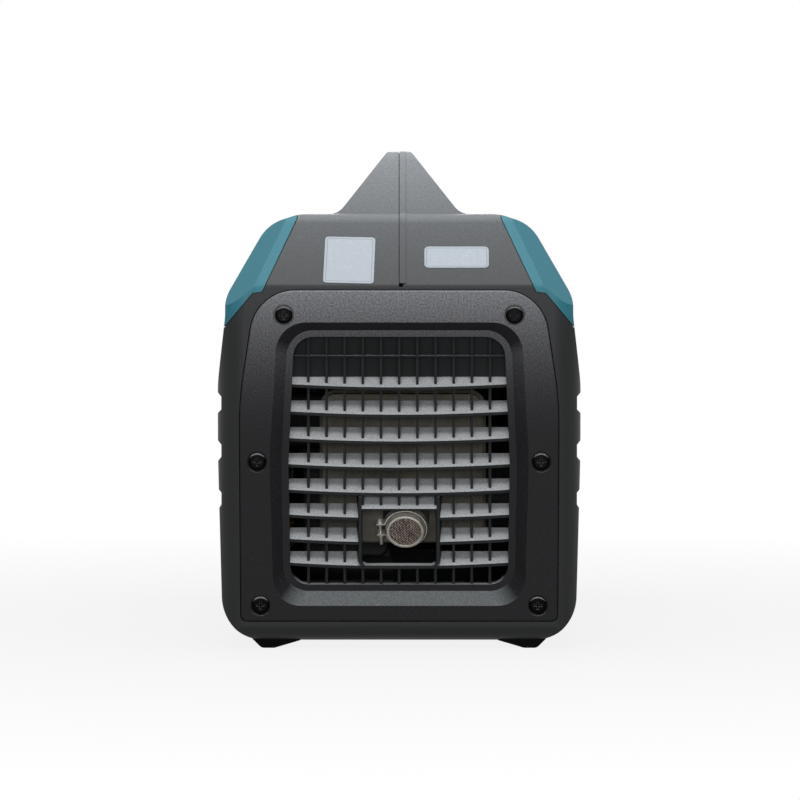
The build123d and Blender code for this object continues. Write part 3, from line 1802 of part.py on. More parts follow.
pull_face_x = half_width - pull_setback
pull_back_x = pull_face_x - pull_thickness
pocket_floor_x = half_width - pocket_depth
with BuildPart() as starter_bezel:
    add(prism(pocket_face(0), Plane.YZ, pocket_floor_x - pocket_wall, half_width))
    add(
        prism(
            pocket_face(pocket_flange),
            Plane.YZ,
            half_width - wall - pocket_gap - pocket_wall,
            half_width - wall - pocket_gap,
        )
    )
    add(prism(pocket_face(-pocket_wall), Plane.YZ, pocket_floor_x, half_width + reach), mode=Mode.SUBTRACT)
    rod(
        (pocket_floor_x - reach, pocket_y, pocket_z),
        (1, 0, 0),
        rope_eye_radius,
        2 * reach,
        mode=Mode.SUBTRACT,
    )
save(starter_bezel, "starter_bezel")

with BuildPart() as recoil_grip:
    with BuildSketch(Plane.YZ.offset(pull_back_x)):
        with Locations((pocket_y, pocket_z)):
            RectangleRounded(pull_length, pull_height, pull_height / 2 - overlap)
    extrude(amount=pull_thickness)
    fillet(recoil_grip.faces().filter_by(Plane.YZ).edges(), pull_radius)
save(recoil_grip, "recoil_grip")

with BuildPart() as starter_rope:
    with BuildLine() as rope_path:
        FilletPolyline(leave, guide, (pull_back_x, pocket_y, pocket_z), radius=rope_bend_radius)
    with BuildSketch(Plane(origin=leave, z_dir=guide - leave)):
        Circle(rope_radius)
    sweep(path=rope_path.wires()[0])
save(starter_rope, "starter_rope")

# Fuel tank, hanging on its seam flange between the shells
neck_top_z = deck_z + neck_top_gap


def tank_block(shrink):
    """The tank's rounded box, drawn in by an even amount."""
    with BuildPart() as block:
        cuboid(
            (-tank_half_width + shrink, tank_half_width - shrink),
            (tank_rear_y + shrink, tank_front_y - shrink),
            (tank_low_z + shrink, tank_high_z - shrink),
        )
        fillet(block.edges().filter_by(Axis.Z), tank_radius - shrink)
    return block.part


tank_space = tank_block(tank_wall)
with BuildPart() as fuel_tank:
    add(tank_block(0))
    cuboid(
        (-tank_half_width - tank_flange, tank_half_width + tank_flange),
        (tank_rear_y - tank_flange, tank_front_y + tank_flange),
        (tank_seam_z, tank_seam_z + tank_flange_thickness),
    )
    add(tank_space, mode=Mode.SUBTRACT)
    rod(
        (neck_x, neck_y, tank_high_z - tank_wall),
        (0, 0, 1),
        neck_radius,
        neck_top_z - tank_high_z + tank_wall,
    )
    rod((spigot_x, carb_y, tank_low_z + tank_wall), (0, 0, -1), spigot_radius, tank_wall + spigot_length)
    rod(
        (neck_x, neck_y, tank_high_z - 2 * tank_wall),
        (0, 0, 1),
        neck_bore,
        neck_top_z - tank_high_z + 2 * tank_wall,
        mode=Mode.SUBTRACT,
    )
save(fuel_tank, "fuel_tank")

grommet_top_z = deck_z - wall - lip_gap
with BuildPart() as filler_grommet:
    rod((neck_x, neck_y, grommet_top_z), (0, 0, -1), cap_well_radius + grommet_overlap, grommet_height)
    rod(
        (neck_x, neck_y, grommet_top_z),
        (0, 0, -1),
        neck_radius + lip_gap,
        grommet_height,
        mode=Mode.SUBTRACT,
    )
save(filler_grommet, "filler_grommet")

with BuildPart() as fuel_cap_gasket:
    rod((neck_x, neck_y, neck_top_z), (0, 0, 1), neck_radius, gasket_thickness)
    rod((neck_x, neck_y, neck_top_z), (0, 0, 1), neck_bore, gasket_thickness, mode=Mode.SUBTRACT)
save(fuel_cap_gasket, "fuel_cap_gasket")

cap_low_z = deck_z - cap_well_depth + cap_lift
cap_high_z = cap_low_z + cap_height
with BuildPart() as fuel_cap:
    rod((neck_x, neck_y, cap_low_z), (0, 0, 1), cap_radius, cap_height)
    with Locations((neck_x, neck_y, cap_low_z)):
        with PolarLocations(cap_radius, cap_ribs):
            Cylinder(cap_rib_radius, cap_height, align=(Align.CENTER, Align.CENTER, Align.MIN))
    fillet(fuel_cap.faces().sort_by(Axis.Z)[-1].edges(), cap_edge)
    rod(
        (neck_x, neck_y, cap_low_z),
        (0, 0, 1),
        neck_radius + running_gap,
        neck_top_z + gasket_thickness - cap_low_z,
        mode=Mode.SUBTRACT,
    )
save(fuel_cap, "fuel_cap")

with BuildPart() as cap_vent_lever:
    with BuildSketch(Plane.XY.offset(cap_high_z)):
        with Locations((neck_x, neck_y)):
            SlotOverall(vent_length, vent_width)
            Circle(vent_hub_radius)
    extrude(amount=vent_height)
    fillet(cap_vent_lever.faces().sort_by(Axis.Z)[-1].edges(), vent_edge)
save(cap_vent_lever, "cap_vent_lever")

# Carburettor, fuel hose, air cleaner, ignition
carb_mid_x = (air_box_inner_x + carb_right_x) / 2
with BuildPart() as carburettor:
    cuboid(
        (air_box_inner_x, carb_right_x),
        (carb_y - carb_length / 2, carb_y + carb_length / 2),
        (carb_low_z, carb_high_z),
    )
    fillet(carburettor.edges().filter_by(Axis.X), carb_radius)
    cuboid(
        (carb_mid_x - carb_neck / 2, carb_mid_x + carb_neck / 2),
        (carb_y - carb_neck / 2, carb_y + carb_neck / 2),
        (cylinder_top_z, carb_low_z + overlap),
    )
    rod((carb_mid_x, carb_y, carb_high_z), (0, 0, 1), carb_cap_radius, carb_cap_height)
    hose_z = (carb_low_z + carb_high_z) / 2
    rod((carb_right_x, carb_y, hose_z), (1, 0, 0), spigot_radius, spigot_length)
    rod((air_box_inner_x, carb_y, hose_z), (1, 0, 0), carb_bore_radius, carb_neck, mode=Mode.SUBTRACT)
save(carburettor, "carburettor")

with BuildPart() as fuel_hose:
    with BuildLine() as hose_path:
        FilletPolyline(
            (spigot_x, carb_y, tank_low_z),
            (spigot_x, carb_y, hose_z),
            (carb_right_x, carb_y, hose_z),
            radius=hose_bend_radius,
        )
    with BuildSketch(Plane.XY.offset(tank_low_z)):
        with Locations((spigot_x, carb_y)):
            Circle(hose_radius)
            Circle(spigot_radius + close_gap, mode=Mode.SUBTRACT)
    sweep(path=hose_path.wires()[0])
save(fuel_hose, "fuel_hose")

with BuildPart() as air_cleaner_case:
    cuboid(
        (air_box_outer_x, air_box_inner_x),
        (air_box_rear_y, air_box_front_y),
        (air_box_low_z, air_box_high_z),
    )
    fillet(air_cleaner_case.edges().filter_by(Axis.X), air_box_radius)
    offset(
        amount=-air_box_wall,
        openings=air_cleaner_case.faces().sort_by(Axis.X)[0],
        kind=Kind.INTERSECTION,
    )
    rod((air_box_inner_x, carb_y, hose_z), (-1, 0, 0), carb_bore_radius, air_box_wall, mode=Mode.SUBTRACT)
save(air_cleaner_case, "air_cleaner_case")

with BuildPart() as air_filter:
    with BuildSketch(Plane.YZ.offset(air_box_outer_x)):
        with Locations(((air_box_rear_y + air_box_front_y) / 2, (air_box_low_z + air_box_high_z) / 2)):
            RectangleRounded(
                air_box_front_y - air_box_rear_y - 2 * (air_box_wall + lip_gap),
                air_box_high_z - air_box_low_z - 2 * (air_box_wall + lip_gap),
                air_box_radius - air_box_wall,
            )
    extrude(amount=filter_thickness)
save(air_filter, "air_filter")

with BuildPart() as air_cleaner_lid:
    with BuildSketch(Plane.YZ.offset(air_box_outer_x)):
        with Locations(((air_box_rear_y + air_box_front_y) / 2, (air_box_low_z + air_box_high_z) / 2)):
            RectangleRounded(
                air_box_front_y - air_box_rear_y,
                air_box_high_z - air_box_low_z,
                air_box_radius,
            )
    extrude(amount=-air_box_wall)
save(air_cleaner_lid, "air_cleaner_lid")

with BuildPart() as ignition_coil:
    cuboid(
        (crankcase_right_x - coil_width, crankcase_right_x),
        (coil_y - coil_length / 2, coil_y + coil_length / 2),
        (crankcase_high_z, crankcase_high_z + coil_height),
    )
    fillet(ignition_coil.edges().filter_by(Axis.Z), coil_radius)
save(ignition_coil, "ignition_coil")

with BuildPart() as spark_plug:
    with BuildSketch(Plane.XY.offset(cylinder_top_z)):
        with Locations((plug_x, plug_y)):
            RegularPolygon(plug_hex_radius, 6)
    extrude(amount=plug_hex_height)
    rod((plug_x, plug_y, cylinder_top_z + plug_hex_height), (0, 0, 1), plug_core_radius, plug_core_height)
save(spark_plug, "spark_plug")

boot_z = cylinder_top_z + plug_hex_height
with BuildPart() as plug_boot:
    rod((plug_x, plug_y, boot_z), (0, 0, 1), plug_boot_radius, plug_boot_height)
    fillet(plug_boot.faces().sort_by(Axis.Z)[-1].edges(), plug_boot_edge)
    rod(
        (plug_x, plug_y, boot_z),
        (0, 0, 1),
        plug_core_radius + lip_gap,
        plug_core_height + lip_gap,
        mode=Mode.SUBTRACT,
    )
save(plug_boot, "plug_boot")

# Inverter box on the tray
with BuildPart() as inverter_module:
    cuboid(
        (-inverter_half_width, inverter_half_width),
        (inverter_rear_y, inverter_rear_y + inverter_length),
        (floor_z, floor_z + inverter_height),
    )
    fin_step = 2 * inverter_half_width / inverter_fins
    with Locations((0, inverter_rear_y + inverter_length / 2, floor_z + inverter_height)):
        with GridLocations(fin_step, 1, inverter_fins - 1, 1):
            Box(
                fin_step - inverter_fin_thickness,
                inverter_length,
                2 * inverter_fin_depth,
                mode=Mode.SUBTRACT,
            )
save(inverter_module, "inverter_module")

# Control end: cover, recessed panel and its controls
panel_y = end_y - panel_setback
panel_mid_z = (panel_low_z + panel_high_z) / 2


def panel_face(grow):
    """The rounded outline of the panel opening, grown by a margin."""
    with BuildSketch(Plane.XY) as outline:
        with Locations((0, panel_mid_z)):
            RectangleRounded(
                2 * (panel_half_width + grow),
                panel_high_z - panel_low_z + 2 * grow,
                panel_corner_radius + grow,
            )
    return outline.sketch


with BuildPart() as front_cover:
    add(end_cover_blank(1))
    add(end_prism(panel_face(panel_rim), 1, panel_y, end_y - cover_plate / 2))
    add(end_prism(panel_face(0), 1, panel_y - reach, end_y + reach), mode=Mode.SUBTRACT)
    intake_mid_z = intake_low_z + (intake_slots - 1) * intake_slot_pitch / 2
    with BuildSketch(Plane.XZ.offset(-end_y)):
        with Locations((0, intake_mid_z)):
            with GridLocations(1, intake_slot_pitch, 1, intake_slots):
                SlotOverall(intake_slot_length, intake_slot_height)
    extrude(amount=2 * cover_plate, mode=Mode.SUBTRACT)
    add(screw_wells(1), mode=Mode.SUBTRACT)
save(front_cover, "front_cover")

front_cover_screws = cover_screws(1)
save(front_cover_screws, "front_cover_screws")

rocker_pivot_y = panel_y - panel_plate / 2
with BuildPart() as control_panel:
    add(end_prism(panel_face(panel_margin), 1, panel_y - panel_plate, panel_y))
    for x in button_x:
        rod((x, panel_y, button_z), (0, 1, 0), button_collar, button_collar_height)
    cuboid(
        (rocker_x - rocker_width / 2 - rocker_bezel, rocker_x + rocker_width / 2 + rocker_bezel),
        (panel_y, panel_y + rocker_bezel),
        (rocker_z - rocker_height / 2 - rocker_bezel, rocker_z + rocker_height / 2 + rocker_bezel),
    )
    cuboid(
        (rocker_x - rocker_width / 2 - fit_gap, rocker_x + rocker_width / 2 + fit_gap),
        (panel_y - reach, panel_y + reach),
        (rocker_z - rocker_height / 2 - fit_gap, rocker_z + rocker_height / 2 + fit_gap),
        mode=Mode.SUBTRACT,
    )
    for x in button_x:
        rod(
            (x, panel_y - reach, button_z),
            (0, 1, 0),
            button_radius + running_gap,
            2 * reach,
            mode=Mode.SUBTRACT,
        )
    for index in (-1, 0, 1):
        rod(
            (lens_x, panel_y - reach, lens_z + index * lens_pitch),
            (0, 1, 0),
            lens_radius + close_gap,
            2 * reach,
            mode=Mode.SUBTRACT,
        )
    for x in socket_x:
        half_hole = socket_size / 2 - socket_bezel + fit_gap
        cuboid(
            (x - half_hole, x + half_hole),
            (panel_y - reach, panel_y + reach),
            (socket_z - half_hole, socket_z + half_hole),
            mode=Mode.SUBTRACT,
        )
    rod((dc_x, panel_y - reach, dc_z), (0, 1, 0), dc_body_radius + fit_gap, 2 * reach, mode=Mode.SUBTRACT)
    rod(
        (dial_x, panel_y - reach, dial_z),
        (0, 1, 0),
        dial_stem_radius + running_gap,
        2 * reach,
        mode=Mode.SUBTRACT,
    )
    rod(
        (ground_x, panel_y - reach, ground_z),
        (0, 1, 0),
        ground_stud_radius + close_gap,
        2 * reach,
        mode=Mode.SUBTRACT,
    )
save(control_panel, "control_panel")

with BuildPart() as engine_dial:
    rod((dial_x, panel_y + dial_lift, dial_z), (0, 1, 0), dial_radius, dial_height)
    fillet(engine_dial.faces().sort_by(Axis.Y)[-1].edges(), dial_edge)
    cuboid(
        (dial_x - dial_bar_width / 2, dial_x + dial_bar_width / 2),
        (panel_y + dial_lift + dial_height - overlap, panel_y + dial_lift + dial_height + dial_bar_height),
        (dial_z - dial_radius + dial_bar_margin, dial_z + dial_radius - dial_bar_margin),
    )
    rod((dial_x, panel_y + dial_lift, dial_z), (0, -1, 0), dial_stem_radius, dial_stem_length)
save(engine_dial, "engine_dial")

lid_hinge_y = panel_y + socket_proud + lid_barrel_radius
lid_hinge_z = socket_z + socket_size / 2 + lid_barrel_radius
lid_y = panel_y + socket_proud + lid_lift
with BuildPart() as ac_sockets:
    for x in socket_x:
        with BuildSketch(Plane.XZ.offset(-panel_y)):
            with Locations((x, socket_z)):
                RectangleRounded(socket_size, socket_size, socket_radius)
        extrude(amount=-socket_proud)
        half_body = socket_size / 2 - socket_bezel
        cuboid(
            (x - half_body, x + half_body),
            (panel_y - socket_depth, panel_y + overlap),
            (socket_z - half_body, socket_z + half_body),
        )
        rod(
            (x, panel_y + socket_proud, socket_z),
            (0, -1, 0),
            socket_well_radius,
            socket_well_depth,
            mode=Mode.SUBTRACT,
        )
        for side in (-1, 1):
            rod(
                (x + side * pin_pitch / 2, panel_y, socket_z),
                (0, -1, 0),
                pin_radius,
                socket_depth - pin_radius,
                mode=Mode.SUBTRACT,
            )
            ear_x = x + side * (lid_barrel_length / 2 + lid_barrel_gap)
            rod((ear_x, lid_hinge_y, lid_hinge_z), (side, 0, 0), lid_barrel_radius, hinge_ear_length)
            cuboid(
                tuple(sorted((ear_x, ear_x + side * hinge_ear_length))),
                (panel_y, lid_hinge_y),
                (socket_z + (socket_size - lid_margin) / 2 + lid_barrel_gap, lid_hinge_z),
            )
        pin_half_length = lid_barrel_length / 2 + lid_barrel_gap + overlap
        rod(
            (x - pin_half_length, lid_hinge_y, lid_hinge_z),
            (1, 0, 0),
            lid_pin_radius,
            2 * pin_half_length,
        )
save(ac_sockets, "ac_sockets")


def socket_lid(x):
    """A flip lid with its hinge barrel above the socket."""
    with BuildPart() as flap:
        with BuildSketch(Plane.XZ.offset(-lid_y)):
            with Locations((x, socket_z)):
                lid_size = socket_size - lid_margin
                RectangleRounded(lid_size, lid_size, socket_radius - lid_margin / 2)
        extrude(amount=-lid_thickness)
        rod(
            (x - lid_barrel_length / 2, lid_hinge_y, lid_hinge_z),
            (1, 0, 0),
            lid_barrel_radius,
            lid_barrel_length,
        )
        cuboid(
            (x - lid_barrel_length / 2, x + lid_barrel_length / 2),
            (lid_y, lid_y + lid_thickness),
            (socket_z + socket_size / 2 - lid_margin, lid_hinge_z),
        )
        rod(
            (x - lid_barrel_length / 2, lid_hinge_y, lid_hinge_z),
            (1, 0, 0),
            lid_pin_radius + running_gap,
            lid_barrel_length,
            mode=Mode.SUBTRACT,
        )
    return flap


socket_lid_a = socket_lid(socket_x[0])
save(socket_lid_a, "socket_lid_a")

socket_lid_b = socket_lid(socket_x[1])
save(socket_lid_b, "socket_lid_b")

with BuildPart() as eco_rocker:
    rod((rocker_x - rocker_width / 2, rocker_pivot_y, rocker_z), (1, 0, 0), rocker_height / 2, rocker_width)
    cuboid(
        (rocker_x - rocker_width / 2, rocker_x + rocker_width / 2),
        (rocker_pivot_y - rocker_proud, rocker_pivot_y + rocker_proud),
        (rocker_z - rocker_height / 2, rocker_z + rocker_height / 2),
        mode=Mode.INTERSECT,
    )
    fillet(eco_rocker.faces().sort_by(Axis.Y)[-1].edges(), rocker_edge)
save(eco_rocker, "eco_rocker")

with BuildPart() as indicator_lenses:
    for index in (-1, 0, 1):
        rod(
            (lens_x, panel_y - lens_depth, lens_z + index * lens_pitch),
            (0, 1, 0),
            lens_radius,
            lens_depth + lens_proud,
        )
    fillet(indicator_lenses.faces().filter_by(Plane.XZ).group_by(Axis.Y)[-1].edges(), lens_edge)
save(indicator_lenses, "indicator_lenses")


def reset_button(x):
    """A press button in its collar."""
    with BuildPart() as button:
        rod((x, panel_y - button_depth, button_z), (0, 1, 0), button_radius, button_depth + button_proud)
        fillet(button.faces().sort_by(Axis.Y)[-1].edges(), button_edge)
    return button


ac_reset_button = reset_button(button_x[0])
save(ac_reset_button, "ac_reset_button")

dc_reset_button = reset_button(button_x[1])
save(dc_reset_button, "dc_reset_button")

with BuildPart() as dc_socket:
    rod((dc_x, panel_y, dc_z), (0, 1, 0), dc_radius, dc_proud)
    fillet(dc_socket.faces().sort_by(Axis.Y)[-1].edges(), dc_edge)
    rod((dc_x, panel_y + overlap, dc_z), (0, -1, 0), dc_body_radius, dc_depth)
    rod((dc_x, panel_y + dc_proud, dc_z), (0, -1, 0), dc_well_radius, dc_well_depth, mode=Mode.SUBTRACT)
save(dc_socket, "dc_socket")

with BuildPart() as ground_terminal:
    rod(
        (ground_x, panel_y - panel_plate, ground_z),
        (0, 1, 0),
        ground_stud_radius,
        panel_plate + ground_stud_length,
    )
    rod((ground_x, panel_y, ground_z), (0, 1, 0), ground_washer_radius, ground_washer_height)
    with BuildSketch(Plane.XZ.offset(-panel_y - ground_washer_height)):
        with Locations((ground_x, ground_z)):
            RegularPolygon(ground_hex_radius, 6)
    extrude(amount=-ground_hex_height)
save(ground_terminal, "ground_terminal")
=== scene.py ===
"""Looks of a portable suitcase generator, dressed around its packed CAD frame.

Lengths are metres in the frame's own axes: +Z up, the exhaust end at -Y, the control end at +Y.
Sizes named with _mm are millimetres and are turned to metres where they are used.
"""

import logging
import math
from dataclasses import dataclass, field
from enum import Enum
from typing import Optional, Sequence, Union

import bmesh
import bpy
from mathutils import Matrix, Vector


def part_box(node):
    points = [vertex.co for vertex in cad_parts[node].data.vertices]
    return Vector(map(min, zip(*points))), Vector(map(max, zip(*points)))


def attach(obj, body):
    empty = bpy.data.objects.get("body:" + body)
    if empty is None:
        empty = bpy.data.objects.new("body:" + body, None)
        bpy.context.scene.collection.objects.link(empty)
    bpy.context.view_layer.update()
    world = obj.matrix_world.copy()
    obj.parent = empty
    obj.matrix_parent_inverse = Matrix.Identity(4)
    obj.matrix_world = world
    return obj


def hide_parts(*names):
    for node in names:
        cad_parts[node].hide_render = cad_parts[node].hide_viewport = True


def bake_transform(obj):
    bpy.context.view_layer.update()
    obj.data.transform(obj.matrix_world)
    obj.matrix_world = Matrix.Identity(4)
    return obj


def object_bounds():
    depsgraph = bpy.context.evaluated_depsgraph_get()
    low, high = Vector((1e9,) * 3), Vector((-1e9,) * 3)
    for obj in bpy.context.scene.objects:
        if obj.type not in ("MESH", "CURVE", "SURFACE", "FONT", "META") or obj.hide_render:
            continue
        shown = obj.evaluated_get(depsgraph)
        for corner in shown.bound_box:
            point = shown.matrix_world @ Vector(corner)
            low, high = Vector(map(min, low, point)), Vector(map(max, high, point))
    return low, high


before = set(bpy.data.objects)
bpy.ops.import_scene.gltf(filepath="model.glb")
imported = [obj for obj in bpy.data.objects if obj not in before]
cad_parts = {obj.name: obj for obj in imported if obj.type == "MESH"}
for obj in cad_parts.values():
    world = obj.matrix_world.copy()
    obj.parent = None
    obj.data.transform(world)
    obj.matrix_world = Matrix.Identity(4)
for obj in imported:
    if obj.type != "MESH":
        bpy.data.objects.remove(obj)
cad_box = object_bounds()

log = logging.getLogger("generator")
Tree = bpy.types.NodeTree
Socket = bpy.types.NodeSocket

MM = 0.001
WHITE = (1.0, 1.0, 1.0, 1.0)
CORNER_STEPS = 6
BEVEL_SAMPLES = 4
CLOUD_DETAIL = 3.0
CAST_DETAIL = 4.0
SHEET_DETAIL = 2.0
GRAIN_ROUGHNESS = 0.62
ROLLED_STRETCH = (1.0, 1.0, 0.06)
BRAID_LEAN = math.radians(40.0)
BRAID_WAVER = 0.4
PAINTED_HEIGHT_LIGHT_POWER = 3.0
# A span gives a ramp's start and end, then its values there where they aren't 0 and 1.
GLOSS_SPAN = (0.30, 0.70)
BLOTCH_SPAN = (0.45, 0.70, 0.0, 0.8)
EDGE_WEAR_AND_GLINT_SPAN = (0.97, 0.80, 0.0, 0.75)
EDGE_WEAR_AND_GLINT_PATCH_SPAN = (0.30, 0.60, 0.35, 1.0)
PAINTED_TOP_LIGHT_GRAIN_SPAN = (0.30, 0.62, 0.60, 1.0)
PAINTED_HEIGHT_LIGHT_GRAIN_SPAN = (0.30, 0.70, 0.35, 1.0)
PAINTED_HEIGHT_LIGHT_UP_SPAN = (-0.35, 0.0)


def linear(code: str) -> tuple:
    """Turn an sRGB hex colour into linear RGBA.

    Args:
        code: a colour such as "#2b2c2e".

    Returns:
        Four floats, with an alpha of 1.
    """
    shares = [int(code[i : i + 2], 16) / 255 for i in (1, 3, 5)]
    bent = [c / 12.92 if c <= 0.04045 else ((c + 0.055) / 1.055) ** 2.4 for c in shares]
    return (*bent, 1.0)


def per_metre(size_mm: float) -> float:
    """Texture scale at which one repeat of a pattern measures size_mm."""
    return 1.0 / (size_mm * MM)


def add_node(tree: Tree, kind: str, inputs: Union[dict, Sequence] = (), **settings) -> bpy.types.Node:
    """Add one shader node with its settings and links.

    Args:
        tree: the node tree that takes the node.
        kind: the node's type without its ShaderNode prefix.
        inputs: a constant or a source socket for each input, by name or index, or in a row from the first.
        settings: attributes of the node itself.

    Returns:
        The new node.
    """
    node = tree.nodes.new("ShaderNode" + kind)
    for name, value in settings.items():
        setattr(node, name, value)
    for key, value in inputs.items() if isinstance(inputs, dict) else enumerate(inputs):
        if isinstance(value, Socket):
            tree.links.new(value, node.inputs[key])
        else:
            node.inputs[key].default_value = value
    return node


class Grain(Enum):
    """How a surface was made, which decides its pattern."""

    SPARK = "spark-eroded mould"
    CAST = "sand casting"
    ROLLED = "rolled sheet"
    CELLS = "open-cell foam"
    BRAID = "braided sleeve"


@dataclass(frozen=True)
class Surface:
    """What a material's layers read: place, grain, soft-edged normal, broad cloud and upward share."""

    tree: Tree
    place: Socket
    grain: Socket
    rounded: Socket
    cloud: Socket
    up: Socket


@dataclass(frozen=True)
class Finish:
    """One real material: its colours, the grain of its making and how it meets the light.

    Flecks lie on the grain's tops, blotches are broad clouds, the edge colour shows edge wear and on the
    screws a painted highlight, painted top light lies on faces that look up, and painted height light makes
    the upper parts lighter as if lit from above.
    """

    name: str
    colour: str
    fleck: str
    grain: Grain
    grain_mm: float
    depth_mm: float
    roughness: float
    spread: float = 0.10
    metallic: float = 0.0
    specular: float = 0.5
    fleck_from: float = 0.52
    fleck_to: float = 0.72
    edge: Optional[str] = None
    edge_mm: float = 0.6
    painted_top_light: Optional[str] = None
    painted_top_light_from: float = 0.45
    painted_top_light_to: float = 0.90
    painted_height_light: Optional[str] = None
    painted_height_light_low_mm: float = 0.0
    painted_height_light_high_mm: float = 0.0
    blotch: Optional[str] = None
    blotch_mm: float = 45.0
    transmission: float = 0.0

    def pattern(self, tree: Tree, place: Socket) -> Socket:
        """Draw the grain.

        Args:
            tree: the material's node tree.
            place: object coordinates.

        Returns:
            A socket from 0 to 1, high on the grain's tops.
        """
        scale = per_metre(self.grain_mm)
        if self.grain is Grain.CELLS:
            return add_node(tree, "TexVoronoi", {"Vector": place, "Scale": scale}).outputs["Distance"]
        if self.grain is Grain.BRAID:
            ribs = []
            for lean in (BRAID_LEAN, -BRAID_LEAN):
                turned = add_node(tree, "Mapping", {"Vector": place, "Rotation": (lean, lean / 2, 0.0)})
                lay = turned.outputs["Vector"]
                wave = {"Vector": lay, "Scale": scale / math.tau, "Distortion": BRAID_WAVER}
                ribs.append(add_node(tree, "TexWave", wave).outputs["Fac"])
            return add_node(tree, "Math", ribs, operation="MAXIMUM").outputs[0]
        stretch = ROLLED_STRETCH if self.grain is Grain.ROLLED else (1.0, 1.0, 1.0)
        detail = CAST_DETAIL if self.grain is Grain.CAST else SHEET_DETAIL
        spot = add_node(tree, "Mapping", {"Vector": place, "Scale": stretch}).outputs["Vector"]
        noise = {"Vector": spot, "Scale": scale, "Detail": detail, "Roughness": GRAIN_ROUGHNESS}
        return add_node(tree, "TexNoise", noise).outputs["Fac"]

    def surface(self, tree: Tree) -> Surface:
        """Lay the ground that the layers read.

        Args:
            tree: the material's node tree.

        Returns:
            The sockets of place, grain, normal, cloud and upward share.
        """
        spots = add_node(tree, "TexCoord").outputs
        place = spots["Object"]
        cloud = {"Vector": place, "Scale": per_metre(self.blotch_mm), "Detail": CLOUD_DETAIL}
        rounded = add_node(tree, "Bevel", {"Radius": self.edge_mm * MM}, samples=BEVEL_SAMPLES)
        return Surface(
            tree=tree,
            place=place,
            grain=self.pattern(tree, place),
            rounded=rounded.outputs["Normal"],
            cloud=add_node(tree, "TexNoise", cloud).outputs["Fac"],
            up=add_node(tree, "SeparateXYZ", (spots["Normal"],)).outputs["Z"],
        )

    def edge_wear_and_glint_share(self, on: Surface) -> Socket:
        """Find the edges, where the softened normal leaves the true one: edge wear on most finishes, a
        painted highlight on the screws.

        Args:
            on: the material's surface.

        Returns:
            How much of the edge colour shows.
        """
        true = add_node(on.tree, "NewGeometry").outputs["Normal"]
        along = add_node(on.tree, "VectorMath", (on.rounded, true), operation="DOT_PRODUCT")
        edge_mask = add_node(on.tree, "MapRange", (along.outputs["Value"], *EDGE_WEAR_AND_GLINT_SPAN)).outputs[0]
        patchy = add_node(on.tree, "MapRange", (on.cloud, *EDGE_WEAR_AND_GLINT_PATCH_SPAN)).outputs[0]
        return add_node(on.tree, "Math", (edge_mask, patchy), operation="MULTIPLY").outputs[0]

    def painted_top_light_share(self, on: Surface) -> Socket:
        """Find the faces that look up, which are painted lighter as if lit from above, laid in the grain.

        Args:
            on: the material's surface.

        Returns:
            How much of the painted top light shows.
        """
        upward = add_node(on.tree, "MapRange", (on.up, self.painted_top_light_from, self.painted_top_light_to)).outputs[0]
        caught = add_node(on.tree, "MapRange", (on.grain, *PAINTED_TOP_LIGHT_GRAIN_SPAN)).outputs[0]
        return add_node(on.tree, "Math", (upward, caught), operation="MULTIPLY").outputs[0]

    def painted_height_light_share(self, on: Surface) -> Socket:
        """Paint light that grows with height, as if lit from above, in the grain and off the undersides.

        Args:
            on: the material's surface.

        Returns:
            How much of the painted height light shows.
        """
        height = add_node(on.tree, "SeparateXYZ", (on.place,)).outputs["Z"]
        low, high = self.painted_height_light_low_mm * MM, self.painted_height_light_high_mm * MM
        rise = add_node(on.tree, "MapRange", (height, low, high)).outputs[0]
        brightened = add_node(on.tree, "Math", (rise, PAINTED_HEIGHT_LIGHT_POWER), operation="POWER").outputs[0]
        caught = add_node(on.tree, "MapRange", (on.grain, *PAINTED_HEIGHT_LIGHT_GRAIN_SPAN)).outputs[0]
        exposed = add_node(on.tree, "MapRange", (on.up, *PAINTED_HEIGHT_LIGHT_UP_SPAN)).outputs[0]
        patchy = add_node(on.tree, "Math", (brightened, caught), operation="MULTIPLY").outputs[0]
        return add_node(on.tree, "Math", (patchy, exposed), operation="MULTIPLY").outputs[0]

    def layers(self, on: Surface) -> list:
        """List what lies on the base colour, from the lowest layer up.

        Args:
            on: the material's surface.

        Returns:
            Pairs of a layer's share and its colour.
        """
        flecks = add_node(on.tree, "MapRange", (on.grain, self.fleck_from, self.fleck_to)).outputs[0]
        found = [(flecks, self.fleck)]
        if self.blotch:
            found.append((add_node(on.tree, "MapRange", (on.cloud, *BLOTCH_SPAN)).outputs[0], self.blotch))
        if self.edge:
            found.append((self.edge_wear_and_glint_share(on), self.edge))
        if self.painted_top_light:
            found.append((self.painted_top_light_share(on), self.painted_top_light))
        if self.painted_height_light:
            found.append((self.painted_height_light_share(on), self.painted_height_light))
        return found

    def material(self) -> bpy.types.Material:
        """Make the material once, and give the same one back after that.

        Returns:
            The finish's material.
        """
        made = bpy.data.materials.get(self.name)
        if made:
            return made
        made = bpy.data.materials.new(self.name)
        made.use_nodes = True
        tree = made.node_tree
        tree.nodes.clear()
        on = self.surface(tree)
        colour = linear(self.colour)
        for share, code in self.layers(on):
            mixed = {0: share, 6: colour, 7: linear(code)}
            colour = add_node(tree, "Mix", mixed, data_type="RGBA").outputs[2]
        bump = {"Height": on.grain, "Distance": self.depth_mm * MM, "Strength": 1.0, "Normal": on.rounded}
        gloss = (on.grain, *GLOSS_SPAN, self.roughness - self.spread / 2, self.roughness + self.spread / 2)
        looks = {
            "Base Color": colour,
            "Roughness": add_node(tree, "MapRange", gloss).outputs[0],
            "Metallic": self.metallic,
            "Specular IOR Level": self.specular,
            "Transmission Weight": self.transmission,
            "Normal": add_node(tree, "Bump", bump).outputs["Normal"],
        }
        shader = add_node(tree, "BsdfPrincipled", looks)
        add_node(tree, "OutputMaterial", {"Surface": shader.outputs["BSDF"]})
        return made


